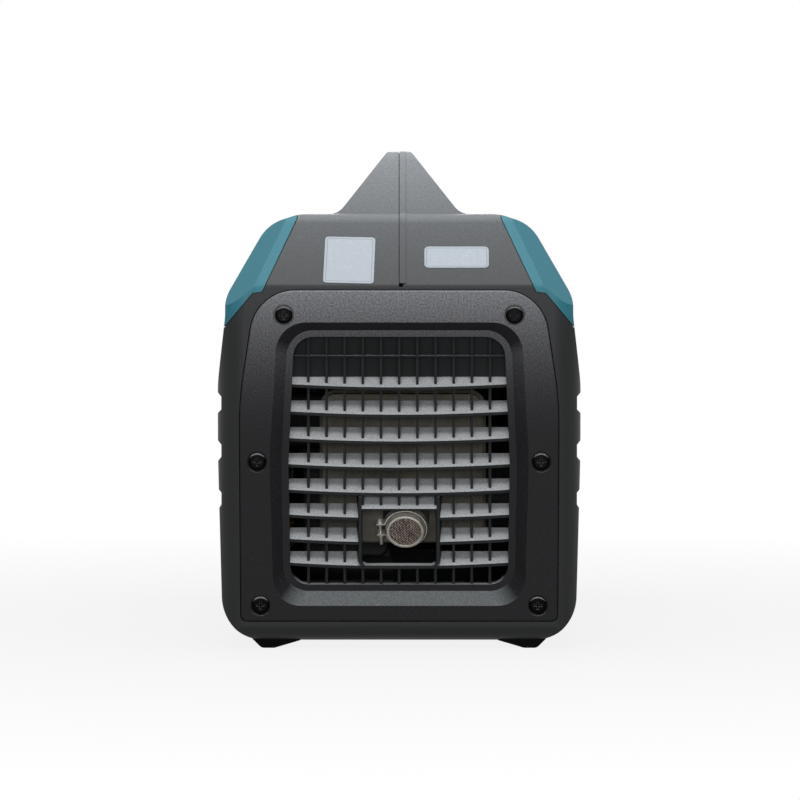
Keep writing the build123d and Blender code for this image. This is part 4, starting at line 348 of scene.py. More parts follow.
@dataclass(frozen=True)
class SootedAndShadedSteel(Finish):
    """Steel around an exhaust mouth, sooty behind the mesh, with painted shade on the collar behind the lip.
    """

    soot_and_shade: str = "#15110e"
    mouth: Matrix = field(default_factory=Matrix)
    soot_radius_mm: float = 13.4
    lip_radius_mm: float = 16.8
    fade_mm: float = 0.3

    def layers(self, on: Surface) -> list:
        """Blacken what lies within the mouth's radius of its axis, which is sooty, and paint shade outside
        its lip.

        Args:
            on: the material's surface.

        Returns:
            Pairs of a layer's share and its colour, with the sooty black and painted shade last.
        """
        found = super().layers(on)
        spot, turn, _ = self.mouth.inverted().decompose()
        local = {"Vector": on.place, "Location": spot, "Rotation": turn.to_euler()}
        spun = add_node(on.tree, "Mapping", local, vector_type="POINT").outputs["Vector"]
        flat = add_node(on.tree, "VectorMath", (spun, (1.0, 1.0, 0.0)), operation="MULTIPLY").outputs[0]
        away = add_node(on.tree, "VectorMath", (flat,), operation="LENGTH").outputs["Value"]
        disc = (away, self.soot_radius_mm * MM, (self.soot_radius_mm - self.fade_mm) * MM)
        collar = (away, self.lip_radius_mm * MM, (self.lip_radius_mm + self.fade_mm) * MM)
        shares = [add_node(on.tree, "MapRange", ends).outputs[0] for ends in (disc, collar)]
        return [*found, (add_node(on.tree, "Math", shares, operation="MAXIMUM").outputs[0], self.soot_and_shade)]


# Real spark-eroded grain measures about 0.2 mm. That is too fine to show in the render, so it is drawn at
# 0.8 to 1.5 mm. The sheet's rolling lines are drawn wider for the same reason.

# Moulded ABS from a spark-eroded tool: black with fine matt grain; its up-facing slopes and its upper parts
# are painted lighter as painted light from above.
SHELL_ABS = Finish(
    "moulded_abs_black", "#202122", "#28292b", Grain.SPARK, grain_mm=0.9, depth_mm=0.05, roughness=0.46,
    specular=0.22, edge="#45474a", painted_top_light="#8a8f93", painted_top_light_from=0.55, painted_top_light_to=1.15,
    painted_height_light="#a1a6ab", painted_height_light_low_mm=240.0, painted_height_light_high_mm=430.0,
)
# The end covers come from a coarser tool: black with lighter grains; its up-facing faces and its upper part
# are painted lighter as painted light from above.
COVER_ABS = Finish(
    "moulded_abs_coarse", "#1e1e20", "#3b3b3e", Grain.SPARK, grain_mm=1.5, depth_mm=0.20, roughness=0.55,
    specular=0.12, edge="#4c4d50", edge_mm=1.2, fleck_from=0.56, fleck_to=0.80, painted_top_light="#9ea4a6",
    painted_height_light="#a2a3a8", painted_height_light_low_mm=152.0, painted_height_light_high_mm=305.0,
)
# Satin coloured ABS: an even teal with a broad soft highlight.
TEAL_ABS = Finish(
    "moulded_abs_teal", "#317a8a", "#398494", Grain.SPARK, grain_mm=1.1, depth_mm=0.03, roughness=0.45,
    specular=0.3, edge="#6ea3ad", edge_mm=0.8,
)
# Glass-filled nylon: charcoal, dry and grainy; its upper faces are painted pale as painted light from above.
LOUVRE_NYLON = Finish(
    "moulded_nylon_charcoal", "#1c1f20", "#26292b", Grain.SPARK, grain_mm=1.3, depth_mm=0.06,
    roughness=0.62, specular=0.15, edge_mm=0.4, painted_top_light="#dee1e3", painted_top_light_from=0.55, painted_top_light_to=0.80,
)
# Moulded rubber: nearly black, matt and even.
FOOT_RUBBER = Finish(
    "moulded_rubber", "#080808", "#0e0e0e", Grain.SPARK, grain_mm=1.2, depth_mm=0.05, roughness=0.80,
    specular=0.06, edge="#1a1a1a",
)
# Black-oxide steel screws: deep black, with a painted highlight along the slots' edges and on the upper curve
# of the head.
SCREW_STEEL = Finish(
    "black_oxide_steel", "#060607", "#0c0d0e", Grain.CAST, grain_mm=0.8, depth_mm=0.02, roughness=0.30,
    specular=0.03, edge="#a2a4a8", edge_mm=0.5, painted_top_light="#e8eaeb", painted_top_light_from=0.36, painted_top_light_to=0.66,
)
# Moulded ABS on the control panel: mid grey with fine matt grain.
PANEL_ABS = Finish(
    "moulded_abs_grey", "#46494c", "#56595c", Grain.SPARK, grain_mm=1.0, depth_mm=0.05, roughness=0.52,
    edge="#787b7e",
)
# Thermoset socket bodies: deep black with a little shine.
SOCKET_RESIN = Finish(
    "moulded_resin_black", "#17181a", "#222326", Grain.SPARK, grain_mm=0.8, depth_mm=0.03, roughness=0.34,
    edge="#3c3e41",
)
# Soft PVC flaps over the sockets: light grey and half matt.
LID_PVC = Finish(
    "moulded_pvc_grey", "#6d7275", "#7d8285", Grain.SPARK, grain_mm=0.9, depth_mm=0.04, roughness=0.50,
    edge="#9a9fa2",
)
# Knobs and keys from a polished tool: black with a clear highlight.
CONTROL_ABS = Finish(
    "polished_abs_black", "#1d1e20", "#27292b", Grain.SPARK, grain_mm=0.8, depth_mm=0.02, roughness=0.30,
    edge="#56585b",
)
# Reset keys from a polished tool: signal red.
RESET_ABS = Finish(
    "moulded_abs_red", "#a8251f", "#b8322a", Grain.SPARK, grain_mm=0.8, depth_mm=0.02, roughness=0.34,
    edge="#d0665e",
)
# Cast acrylic over the signal lamps: clear, with a sharp highlight.
LENS_ACRYLIC = Finish(
    "cast_acrylic_clear", "#d8e6df", "#e4efe9", Grain.SPARK, grain_mm=2.0, depth_mm=0.01, roughness=0.12,
    spread=0.04, transmission=0.7,
)
# Aluminised sheet steel, dulled by heat to a warm grey with straw-brown clouds.
OUTLET_STEEL = Finish(
    "aluminised_steel", "#c6c2b8", "#d6d2c8", Grain.ROLLED, grain_mm=0.7, depth_mm=0.02, roughness=0.40,
    metallic=0.4, edge="#e0dcd2", blotch="#a79d8f", blotch_mm=9.0,
)
# Zinc-plated band, bolt and nut of the clamp: bright, with small sharp highlights.
ZINC_STEEL = Finish(
    "zinc_plated_steel", "#cfcdc6", "#e2e0da", Grain.ROLLED, grain_mm=0.6, depth_mm=0.01, roughness=0.26,
    metallic=0.5, edge="#f0eee8", edge_mm=0.3,
)
# Stainless wire of the spark arrester, browned by the exhaust.
MESH_WIRE = Finish(
    "stainless_wire", "#9a8d83", "#b9aea5", Grain.ROLLED, grain_mm=0.9, depth_mm=0.01, roughness=0.40,
    metallic=0.8, edge_mm=0.05, blotch="#6d6058", blotch_mm=6.0,
)
# Sheet steel of the muffler: olive grey, clouded brown where the heat has stained it.
MUFFLER_STEEL = Finish(
    "heat_stained_steel", "#625f54", "#6d6a5e", Grain.ROLLED, grain_mm=1.4, depth_mm=0.03, roughness=0.60,
    metallic=0.3, edge="#87837a", blotch="#454032", blotch_mm=30.0,
)
# Painted tank steel: near black, smooth and half glossy.
TANK_STEEL = Finish(
    "painted_sheet_steel", "#2a2c2f", "#34363a", Grain.ROLLED, grain_mm=1.6, depth_mm=0.02, roughness=0.38,
    edge="#62656a",
)
# Die-cast aluminium under heat-proof black paint: pebbled and dull.
ENGINE_ALLOY = Finish(
    "painted_die_cast_aluminium", "#1f2021", "#2b2c2d", Grain.CAST, grain_mm=2.2, depth_mm=0.12,
    roughness=0.60, specular=0.3, edge="#55575a",
)
# Ground and oiled engine steel: bright grey with fine lines.
ENGINE_STEEL = Finish(
    "ground_steel", "#8d9093", "#a7aaad", Grain.ROLLED, grain_mm=0.8, depth_mm=0.01, roughness=0.26,
    metallic=1.0, edge="#c9ccce",
)
# Enamelled copper wire, wound side by side: reddish with a glossy rib.
STATOR_COPPER = Finish(
    "enamelled_copper", "#9a5a34", "#b8744a", Grain.ROLLED, grain_mm=1.1, depth_mm=0.10, roughness=0.35,
    metallic=1.0, edge="#cf9468",
)
# Moulded polypropylene inside the casing: dark grey and waxy.
INNER_PP = Finish(
    "moulded_polypropylene", "#26282a", "#303335", Grain.SPARK, grain_mm=1.2, depth_mm=0.05, roughness=0.52,
    edge="#4a4d50",
)
# Oiled filter foam: dark, with open cells.
FILTER_FOAM = Finish(
    "open_cell_foam", "#3a3a36", "#191916", Grain.CELLS, grain_mm=1.8, depth_mm=0.6, roughness=0.85,
    fleck_from=0.1,
)
# Moulded nylon of the oil cap: warm yellow, half glossy.
DIPSTICK_NYLON = Finish(
    "moulded_nylon_yellow", "#d9a51c", "#e4b73a", Grain.SPARK, grain_mm=1.0, depth_mm=0.03, roughness=0.40,
    edge="#efd27a",
)
# Braided polyester starter cord: black with a faint diagonal rib.
ROPE_POLYESTER = Finish(
    "braided_polyester", "#1b1b1c", "#3b3b3d", Grain.BRAID, grain_mm=1.6, depth_mm=0.25, roughness=0.70,
    fleck_from=0.3, fleck_to=0.9,
)
# Vinyl film on the hood: cool white and half glossy.
PLATE_VINYL = Finish(
    "printed_vinyl_white", "#abb5be", "#b5bfc8", Grain.SPARK, grain_mm=3.0, depth_mm=0.01, roughness=0.34,
    edge="#979fa7",
)
# Printing ink of the film's thin rule: a soft grey.
RULE_INK = Finish(
    "printed_ink_grey", "#8b939b", "#949ca4", Grain.SPARK, grain_mm=2.0, depth_mm=0.005, roughness=0.40
)
# Screen ink of the marks on the controls: off-white and matt.
MARK_INK = Finish(
    "screen_ink_white", "#c9cccd", "#d6d9da", Grain.SPARK, grain_mm=0.8, depth_mm=0.01, roughness=0.50
)


def dress(finish: Finish, *nodes: str) -> None:
    """Give CAD nodes a finish through their own material slots.

    Args:
        finish: the material.
        nodes: names of the CAD nodes.
    """
    for node in nodes:
        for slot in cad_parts[node].material_slots:
            slot.material = finish.material()
    log.info("%s: %s", finish.name, ", ".join(nodes))


def new_piece(
    name: str, bm: bmesh.types.BMesh, finishes: Sequence[Finish], body: Optional[str] = None
) -> bpy.types.Object:
    """Turn a bmesh into a piece that rides on a body.

    Args:
        name: the piece's name.
        bm: the mesh in the frame's own place, freed here.
        finishes: one finish for each material index.
        body: the CAD body that carries it, or none to leave it unparented.

    Returns:
        The new object.
    """
    bmesh.ops.recalc_face_normals(bm, faces=bm.faces[:])
    mesh = bpy.data.meshes.new(name)
    bm.to_mesh(mesh)
    bm.free()
    for finish in finishes:
        mesh.materials.append(finish.material())
    piece = bpy.data.objects.new(name, mesh)
    bpy.context.scene.collection.objects.link(piece)
    if body:
        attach(piece, body)
    log.info("built %s", name)
    return piece


def rounded_plate(width: float, height: float, thickness: float, corner: float) -> bmesh.types.BMesh:
    """Make a flat plate with round corners, lying on z = 0.

    Args:
        width: its size along x.
        height: its size along y.
        thickness: its size along z.
        corner: the corners' radius.

    Returns:
        The plate's bmesh.
    """
    bm = bmesh.new()
    bmesh.ops.create_grid(bm, x_segments=1, y_segments=1, size=0.5)
    bmesh.ops.scale(bm, vec=(width, height, 1.0), verts=bm.verts[:])
    bmesh.ops.bevel(
        bm,
        geom=bm.verts[:],
        offset=corner,
        affect="VERTICES",
        segments=CORNER_STEPS,
        profile=0.5,
        material=-1,
    )
    risen = bmesh.ops.extrude_face_region(bm, geom=bm.faces[:])["geom"]
    top = [part for part in risen if isinstance(part, bmesh.types.BMVert)]
    bmesh.ops.translate(bm, vec=(0.0, 0.0, thickness), verts=top)
    return bm


@dataclass
class Casing:
    """Black half shells, teal side covers, tray, hatches, feet and screws."""

    shells: tuple = ("left_shell", "right_shell", "base_tray")
    covers: tuple = ("left_side_cover", "right_side_cover")

    def dress(self) -> None:
        """Give each casing node its finish."""
        dress(SHELL_ABS, *self.shells, "maintenance_cover", "plug_access_cover")
        dress(TEAL_ABS, *self.covers)
        dress(FOOT_RUBBER, "rubber_feet")
        dress(SCREW_STEEL, "rear_cover_screws", "front_cover_screws", "maintenance_screw")


@dataclass(frozen=True)
class Plate:
    """A bare plate: its size, corners and margin outside the rule, and its place and turn on the hood."""

    name: str
    width_mm: float
    height_mm: float
    corner_mm: float
    margin_mm: float
    x_mm: float
    z_mm: float
    turn_deg: float = 0.0


@dataclass
class HoodPlates:
    """Two bare vinyl plates on the sloping hood above the exhaust cover.

    The hood's foot and top are given as the distance from the middle towards the exhaust end, and the height.
    """

    hood_foot_mm: tuple = (253.0, 308.0)
    hood_top_mm: tuple = (198.0, 370.0)
    thickness_mm: float = 0.35
    rule_mm: float = 0.7
    plates: tuple = (
        Plate(
            "hood_plate_left", width_mm=43.0, height_mm=52.0, corner_mm=3.2, margin_mm=1.8,
            x_mm=-42.5, z_mm=330.6, turn_deg=-1.6,
        ),
        Plate(
            "hood_plate_right", width_mm=55.0, height_mm=24.0, corner_mm=4.0, margin_mm=1.4,
            x_mm=49.0, z_mm=333.0,
        ),
    )

    def slope(self, plate: Plate) -> Matrix:
        """Place a plate on the hood.

        Args:
            plate: the plate.

        Returns:
            The matrix that takes the plate's flat to the hood's slope.
        """
        run = self.hood_foot_mm[0] - self.hood_top_mm[0]
        rise = self.hood_top_mm[1] - self.hood_foot_mm[1]
        y_mm = -self.hood_foot_mm[0] + (plate.z_mm - self.hood_foot_mm[1]) * run / rise
        across = Vector((1.0, 0.0, 0.0))
        uphill = Vector((0.0, run, rise)).normalized()
        lie = Matrix((across, uphill, across.cross(uphill))).transposed().to_4x4()
        spot = Matrix.Translation(Vector((plate.x_mm, y_mm, plate.z_mm)) * MM)
        return spot @ lie @ Matrix.Rotation(math.radians(plate.turn_deg), 4, "Z")

    def build(self) -> None:
        """Build the plates, each with a thin rule inside its margin."""
        for plate in self.plates:
            sizes_mm = (plate.width_mm, plate.height_mm, self.thickness_mm, plate.corner_mm)
            bm = rounded_plate(*(size * MM for size in sizes_mm))
            bm.faces.ensure_lookup_table()
            top = max(bm.faces, key=lambda face: face.calc_center_median().z)
            bmesh.ops.inset_region(bm, faces=[top], thickness=plate.margin_mm * MM)
            rule = bmesh.ops.inset_region(bm, faces=[top], thickness=self.rule_mm * MM)["faces"]
            for face in rule:
                face.material_index = 1
            bmesh.ops.transform(bm, matrix=self.slope(plate), verts=bm.verts[:])
            new_piece(plate.name, bm, (PLATE_VINYL, RULE_INK), "root")


@dataclass
class ExhaustEnd:
    """Coarse cover, louvre, and the exhaust outlet with its spark arrester and clamp."""

    outlet_x_mm: float = 5.2
    outlet_setback_mm: float = 28.0
    outlet_z_mm: float = 97.4
    droop_deg: float = 30.0
    turn_deg: float = 2.0
    mesh_radius_mm: float = 13.3
    mesh_setback_mm: float = 0.55
    wire_mm: float = 0.7
    wire_pitch_mm: float = 1.75
    wire_sides: int = 5
    weave_turns_deg: tuple = (45.0, 135.0)

    def mouth(self) -> Matrix:
        """Place the outlet's face.

        Returns:
            The matrix of the face's middle, with z along the outlet's axis, outwards.
        """
        droop, turn = math.radians(self.droop_deg), math.radians(self.turn_deg)
        level = math.cos(droop)
        out = Vector((-math.sin(turn) * level, -math.cos(turn) * level, -math.sin(droop)))
        across = out.cross(Vector((0.0, 0.0, 1.0))).normalized()
        y = cad_box[0].y + self.outlet_setback_mm * MM
        face = Vector((self.outlet_x_mm * MM, y, self.outlet_z_mm * MM))
        return Matrix.Translation(face) @ Matrix((across, out.cross(across), out)).transposed().to_4x4()

    def wire(self, bm: bmesh.types.BMesh, offset: float, lift: float, way: Matrix) -> None:
        """Add one waved wire across the mesh.

        Args:
            bm: the weave's bmesh.
            offset: the wire's distance from the middle.
            lift: which way its first wave goes, 1 or -1.
            way: the turn of its set of wires in the mesh plane.
        """
        pitch, half = self.wire_pitch_mm * MM, self.wire_mm * MM / 2
        reach = math.sqrt((self.mesh_radius_mm * MM) ** 2 - offset**2)
        steps = max(2, round(2 * reach / pitch))
        start = Matrix.Translation((-reach, offset, lift * half)) @ Matrix.Rotation(math.pi / 2, 4, "Y")
        loop = bmesh.ops.create_circle(
            bm, segments=self.wire_sides, radius=half, cap_ends=True, matrix=way @ start
        )["verts"]
        edges = list({edge for vert in loop for edge in vert.link_edges})
        for step in range(steps):
            grown = bmesh.ops.extrude_edge_only(bm, edges=edges)["geom"]
            edges = [part for part in grown if isinstance(part, bmesh.types.BMEdge)]
            loop = [part for part in grown if isinstance(part, bmesh.types.BMVert)]
            wave = -2 * lift * half if step % 2 == 0 else 2 * lift * half
            bmesh.ops.translate(bm, vec=way.to_3x3() @ Vector((2 * reach / steps, 0.0, wave)), verts=loop)
        bmesh.ops.contextual_create(bm, geom=edges)

    def build(self) -> None:
        """Weave the arrester's mesh from two crossing sets of wires."""
        bm = bmesh.new()
        count = int(self.mesh_radius_mm / self.wire_pitch_mm)
        for layer, turn_deg in enumerate(self.weave_turns_deg):
            way = Matrix.Rotation(math.radians(turn_deg), 4, "Z")
            for index in range(-count, count + 1):
                lift = 1.0 if index % 2 == layer else -1.0
                self.wire(bm, index * self.wire_pitch_mm * MM, lift, way)
        place = self.mouth() @ Matrix.Translation((0.0, 0.0, -self.mesh_setback_mm * MM))
        bmesh.ops.transform(bm, matrix=place, verts=bm.verts[:])
        weave = new_piece("arrester_weave", bm, (MESH_WIRE,), "root")

    def dress(self) -> None:
        """Give the exhaust end's nodes their finishes."""
        dress(COVER_ABS, "rear_cover")
        dress(LOUVRE_NYLON, "rear_louvre")
        ring = SootedAndShadedSteel(**{**vars(OUTLET_STEEL), "name": "sooted_and_shaded_steel"}, mouth=self.mouth())
        dress(ring, "spark_arrester")
        dress(ZINC_STEEL, "outlet_clamp")
        dress(MUFFLER_STEEL, "muffler")


@dataclass
class ControlEnd:
    """Control panel with its dial, sockets, keys and printed marks."""

    ink_mm: float = 0.12
    bar_corner_share: float = 0.4
    dial_place_mm: tuple = (62.0, 230.0)
    tick_radius_mm: float = 28.0
    tick_mm: tuple = (1.0, 4.0)
    tick_angles_deg: tuple = (-60.0, -30.0, 0.0, 30.0, 60.0)
    pointer_mm: tuple = (1.6, 10.0)
    pointer_radius_mm: float = 14.0
    rocker_place_mm: tuple = (62.0, 166.0)
    rocker_mark_mm: tuple = (1.4, 5.0)
    rocker_mark_rise_mm: float = 7.5
    frame_rule_mm: float = 0.8
    frame_corner_mm: float = 4.0
    frames_mm: tuple = (((-28.0, 228.0), (118.0, 62.0)), ((-30.0, 164.0), (88.0, 32.0)))

    def facing(self, node: str, place_mm: tuple, turn_deg: float = 0.0) -> Matrix:
        """Place a flat mark on the front of a node.

        Args:
            node: the CAD node that carries the mark.
            place_mm: the mark's place across and up.
            turn_deg: its turn as seen from the front.

        Returns:
            The matrix that takes a flat mark to the node's front.
        """
        axes = Matrix(((-1.0, 0.0, 0.0), (0.0, 0.0, 1.0), (0.0, 1.0, 0.0)))
        turn = axes.transposed().to_4x4() @ Matrix.Rotation(math.radians(turn_deg), 4, "Z")
        return Matrix.Translation((place_mm[0] * MM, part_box(node)[1].y, place_mm[1] * MM)) @ turn

    def mark(self, bm: bmesh.types.BMesh, size_mm: tuple, place: Matrix, rise_mm: float) -> None:
        """Print one short bar with rounded ends.

        Args:
            bm: the bmesh that takes it.
            size_mm: its width and length.
            place: the matrix of the point that it stands over.
            rise_mm: its middle's height over that point.
        """
        width, length = (size * MM for size in size_mm)
        bar = rounded_plate(width, length, self.ink_mm * MM, width * self.bar_corner_share)
        stand = place @ Matrix.Translation((0.0, rise_mm * MM, 0.0))
        bmesh.ops.transform(bar, matrix=stand, verts=bar.verts[:])
        mesh = bpy.data.meshes.new("mark")
        bar.to_mesh(mesh)
        bar.free()
        bm.from_mesh(mesh)
        bpy.data.meshes.remove(mesh)

    def frame_rule(self, name: str, size_mm: tuple, place: Matrix) -> None:
        """Print a thin rule round a group of sockets.

        Args:
            name: the piece's name.
            size_mm: the frame's width and height.
            place: where it lies.
        """
        width, height = (size * MM for size in size_mm)
        bm = rounded_plate(width, height, self.ink_mm * MM, self.frame_corner_mm * MM)
        caps = [face for face in bm.faces if abs(face.normal.z) > 0.5]
        bmesh.ops.inset_region(bm, faces=caps, thickness=self.frame_rule_mm * MM)
        inner = [edge for cap in caps for edge in cap.edges]
        bmesh.ops.delete(bm, geom=caps, context="FACES_ONLY")
        bmesh.ops.bridge_loops(bm, edges=inner)
        bmesh.ops.transform(bm, matrix=place, verts=bm.verts[:])
        new_piece(name, bm, (MARK_INK,), "root")

    def build(self) -> None:
        """Print the dial's scale and pointer, the rocker's mark and the sockets' frames."""
        ticks, pointer, notch = bmesh.new(), bmesh.new(), bmesh.new()
        for angle in self.tick_angles_deg:
            spot = self.facing("control_panel", self.dial_place_mm, angle)
            self.mark(ticks, self.tick_mm, spot, self.tick_radius_mm)
        spot = self.facing("engine_dial", self.dial_place_mm)
        self.mark(pointer, self.pointer_mm, spot, self.pointer_radius_mm)
        spot = self.facing("eco_rocker", self.rocker_place_mm)
        self.mark(notch, self.rocker_mark_mm, spot, self.rocker_mark_rise_mm)
        new_piece("dial_ticks", ticks, (MARK_INK,), "root")
        new_piece("dial_pointer", pointer, (MARK_INK,), "dial")
        new_piece("rocker_mark", notch, (MARK_INK,), "rocker")
        for number, (place_mm, size_mm) in enumerate(self.frames_mm, start=1):
            self.frame_rule(f"socket_frame_{number}", size_mm, self.facing("control_panel", place_mm))

    def dress(self) -> None:
        """Give the control end's nodes their finishes."""
        dress(COVER_ABS, "front_cover")
        dress(PANEL_ABS, "control_panel")
        dress(SOCKET_RESIN, "ac_sockets", "dc_socket")
        dress(LID_PVC, "socket_lid_a", "socket_lid_b")
        dress(CONTROL_ABS, "engine_dial", "eco_rocker")
        dress(RESET_ABS, "ac_reset_button", "dc_reset_button")
        dress(LENS_ACRYLIC, "indicator_lenses")
        dress(ENGINE_STEEL, "ground_terminal")


@dataclass
class Starter:
    """Pull starter: pocket, grip and the cord between the grip and the reel."""

    reel_mm: tuple = (99.0, 40.57, 103.82)
    guide_mm: tuple = (99.0, 62.0, 197.0)
    grip_mm: tuple = (138.0, 62.0, 197.0)
    cord_radius_mm: float = 2.2
    bend_mm: float = 14.0
    cord_sides: int = 12
    bend_steps: int = 8
    pull_steps: int = 12

    def build(self) -> None:
        """Lead the cord from the reel round its guide to the grip, and hide the CAD rope that it stands in
        for.
        """
        reel, guide, grip = (Vector(point) * MM for point in (self.reel_mm, self.guide_mm, self.grip_mm))
        bend = self.bend_mm * MM
        up, out = (guide - reel).normalized(), (grip - guide).normalized()
        bm = bmesh.new()
        start = Matrix.Translation(reel) @ up.to_track_quat("Z", "Y").to_matrix().to_4x4()
        bmesh.ops.create_circle(
            bm, segments=self.cord_sides, radius=self.cord_radius_mm * MM, cap_ends=True, matrix=start
        )
        edges = self.draw(bm, bm.edges[:], guide - up * bend - reel)
        spun = bmesh.ops.spin(
            bm,
            geom=edges,
            cent=guide - up * bend + out * bend,
            axis=up.cross(out),
            angle=up.angle(out),
            steps=self.bend_steps,
            use_merge=False,
        )["geom_last"]
        edges = [part for part in spun if isinstance(part, bmesh.types.BMEdge)]
        free = grip - guide - out * bend
        for _ in range(self.pull_steps):
            edges = self.draw(bm, edges, free / self.pull_steps)
        bmesh.ops.contextual_create(bm, geom=edges)
        cord = new_piece("starter_cord", bm, (ROPE_POLYESTER,))
        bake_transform(cord)
        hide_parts("starter_rope")

    def draw(self, bm: bmesh.types.BMesh, edges: Sequence, way: Vector) -> list:
        """Draw the cord's open end one step on.

        Args:
            bm: the cord's bmesh.
            edges: the loop of edges at its open end.
            way: the step.

        Returns:
            The new loop of edges.
        """
        grown = bmesh.ops.extrude_edge_only(bm, edges=edges)["geom"]
        verts = [part for part in grown if isinstance(part, bmesh.types.BMVert)]
        bmesh.ops.translate(bm, vec=way, verts=verts)
        return [part for part in grown if isinstance(part, bmesh.types.BMEdge)]

    def dress(self) -> None:
        """Give the starter's nodes and the fan's their finishes."""
        dress(CONTROL_ABS, "starter_bezel", "recoil_grip")
        dress(INNER_PP, "recoil_housing", "recoil_reel", "fan_housing", "cooling_fan")
        dress(ENGINE_STEEL, "starter_cup")


@dataclass
class FuelSystem:
    """Fuel cap with its vent lever, tank, hose, carburettor and air cleaner."""

    def dress(self) -> None:
        """Give the fuel system's nodes their finishes."""
        dress(CONTROL_ABS, "fuel_cap", "cap_vent_lever")
        dress(FOOT_RUBBER, "fuel_cap_gasket", "filler_grommet", "fuel_hose")
        dress(TANK_STEEL, "fuel_tank")
        dress(ENGINE_ALLOY, "carburettor")
        dress(INNER_PP, "air_cleaner_case", "air_cleaner_lid")
        dress(FILTER_FOAM, "air_filter")


@dataclass
class Engine:
    """Engine, alternator and inverter inside the casing."""

    def dress(self) -> None:
        """Give the engine's nodes their finishes."""
        dress(ENGINE_ALLOY, "crankcase", "cylinder", "valve_cover", "piston", "inverter_module")
        dress(ENGINE_STEEL, "crankshaft", "alternator_rotor", "spark_plug")
        dress(STATOR_COPPER, "alternator_stator")
        dress(INNER_PP, "ignition_coil", "plug_boot")
        dress(FOOT_RUBBER, "engine_mounts")
        dress(DIPSTICK_NYLON, "oil_dipstick")


@dataclass(frozen=True)
class Lamp:
    """A soft rectangular lamp: where it hangs, what it looks at, its width and height, and its power."""

    name: str
    place: tuple
    at: tuple
    size: tuple
    watts: float


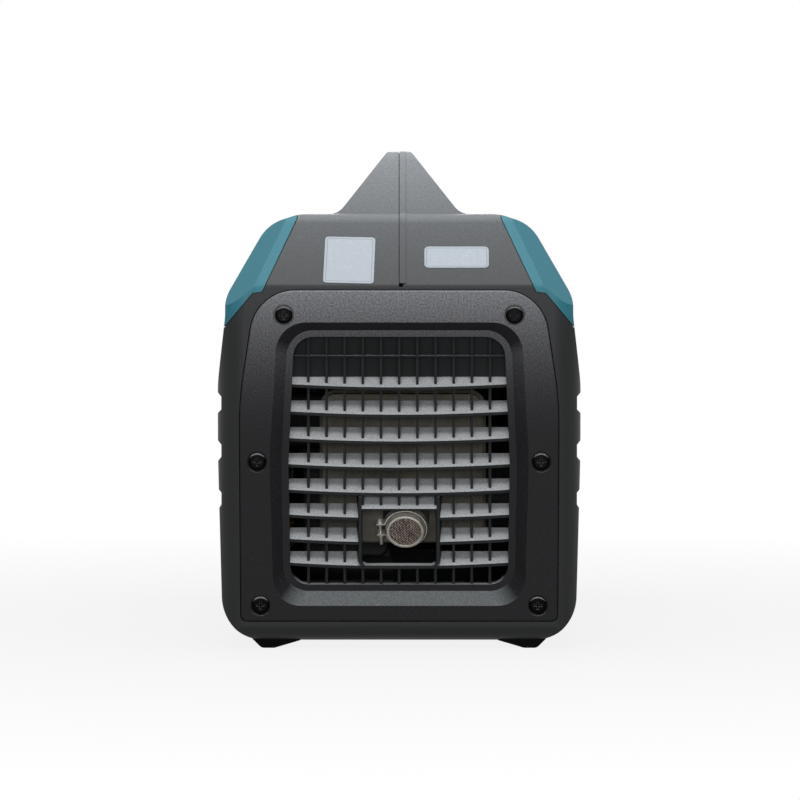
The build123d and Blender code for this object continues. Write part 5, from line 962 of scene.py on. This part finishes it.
@dataclass
class Studio:
    """Pale floor, soft lamps and the camera that looks at the exhaust end."""

    camera_height: float = 0.366
    camera_distance: float = 3.60
    target_x: float = 0.0007
    target_z: float = 0.2122
    frame_width: float = 0.679
    floor_size: float = 12.0
    paper: str = "#c4c4c4"
    glow_from: float = 0.3
    glow_to: float = 1.1
    glow_near: float = 0.86
    ambient: str = "#c9ccd0"
    ambient_strength: float = 0.20
    lamps: tuple = (
        Lamp("overhead_softbox", (0.0, -0.10, 1.25), (0.0, -0.10, 0.30), (0.80, 0.80), watts=6.0),
        Lamp("front_strip", (0.0, -0.75, 0.95), (0.0, -0.25, 0.22), (0.90, 0.30), watts=2.6),
        Lamp("front_fill", (0.0, -2.60, 0.45), (0.0, -0.24, 0.20), (1.40, 0.45), watts=15.0),
        Lamp("control_fill", (0.0, 2.60, 1.05), (0.0, 0.24, 0.20), (1.40, 0.60), watts=16.0),
    )

    def aim(self, item: bpy.types.Object, at: Sequence[float]) -> None:
        """Turn a lamp or camera towards a point."""
        item.rotation_euler = (Vector(at) - item.location).to_track_quat("-Z", "Y").to_euler()

    def light(self) -> None:
        """Hang the soft lamps and set the world's plain light."""
        for lamp in self.lamps:
            glow = bpy.data.lights.new(lamp.name, "AREA")
            glow.shape = "RECTANGLE"
            glow.size, glow.size_y = lamp.size
            glow.energy = lamp.watts
            item = bpy.data.objects.new(lamp.name, glow)
            bpy.context.scene.collection.objects.link(item)
            item.location = lamp.place
            self.aim(item, lamp.at)
        world = bpy.data.worlds.new("studio")
        bpy.context.scene.world = world
        world.use_nodes = True
        tree = world.node_tree
        tree.nodes.clear()
        seen = self.seen_directly(tree)
        ambient = add_node(tree, "Background", (linear(self.ambient), self.ambient_strength))
        backdrop = add_node(tree, "Background", (WHITE, 1.0))
        blend = add_node(tree, "MixShader", (seen, ambient.outputs[0], backdrop.outputs[0]))
        add_node(tree, "OutputWorld", {"Surface": blend.outputs[0]})

    def seen_directly(self, tree: Tree) -> Socket:
        """Join the camera, glossy and transmission rays of the light path.

        Args:
            tree: a material's or the world's node tree.

        Returns:
            A socket that is 1 on those rays.
        """
        rays = add_node(tree, "LightPath").outputs
        pair = (rays["Is Camera Ray"], rays["Is Glossy Ray"])
        either = add_node(tree, "Math", pair, operation="MAXIMUM").outputs[0]
        last = (either, rays["Is Transmission Ray"])
        return add_node(tree, "Math", last, operation="MAXIMUM").outputs[0]

    def floor(self) -> None:
        """Lay the pale floor, which keeps the object's soft shadow and runs out to white."""
        bm = bmesh.new()
        bmesh.ops.create_grid(bm, x_segments=1, y_segments=1, size=self.floor_size / 2)
        mesh = bpy.data.meshes.new("floor")
        bm.to_mesh(mesh)
        bm.free()
        floor = bpy.data.objects.new("floor", mesh)
        bpy.context.scene.collection.objects.link(floor)
        paint = bpy.data.materials.new("matt_white_paper")
        paint.use_nodes = True
        tree = paint.node_tree
        tree.nodes.clear()
        paper = add_node(tree, "BsdfDiffuse", {"Color": linear(self.paper)})
        glow = add_node(tree, "Emission", (WHITE, 1.0))
        place = add_node(tree, "TexCoord").outputs["Object"]
        away = add_node(tree, "VectorMath", (place,), operation="LENGTH").outputs["Value"]
        spread = (away, self.glow_from, self.glow_to, self.glow_near, 1.0)
        bright = add_node(tree, "MapRange", spread).outputs[0]
        share = add_node(tree, "Math", (self.seen_directly(tree), bright), operation="MULTIPLY").outputs[0]
        blend = add_node(tree, "MixShader", (share, paper.outputs[0], glow.outputs[0]))
        add_node(tree, "OutputMaterial", {"Surface": blend.outputs[0]})
        mesh.materials.append(paint)

    def camera(self) -> None:
        """Set the camera square to the exhaust end, level with the hood's crest."""
        rear = cad_box[0].y
        lens = bpy.data.cameras.new("camera")
        item = bpy.data.objects.new("camera", lens)
        bpy.context.scene.collection.objects.link(item)
        aim_at = Vector((self.target_x, rear, self.target_z))
        item.location = (self.target_x, rear - self.camera_distance, self.camera_height)
        self.aim(item, aim_at)
        lens.lens = lens.sensor_width * (aim_at - item.location).length / self.frame_width
        bpy.context.scene.camera = item


def main() -> None:
    """Build every sub-assembly, dress it, and set the studio."""
    logging.basicConfig(level=logging.INFO, format="%(name)s: %(message)s")
    exhaust, control, starter = ExhaustEnd(), ControlEnd(), Starter()
    for part in (HoodPlates(), exhaust, control, starter):
        part.build()
    for part in (Casing(), exhaust, control, starter, FuelSystem(), Engine()):
        part.dress()
    studio = Studio()
    studio.floor()
    studio.light()
    studio.camera()
    bpy.context.scene.view_settings.view_transform = "Standard"


if __name__ == "__main__":
    main()
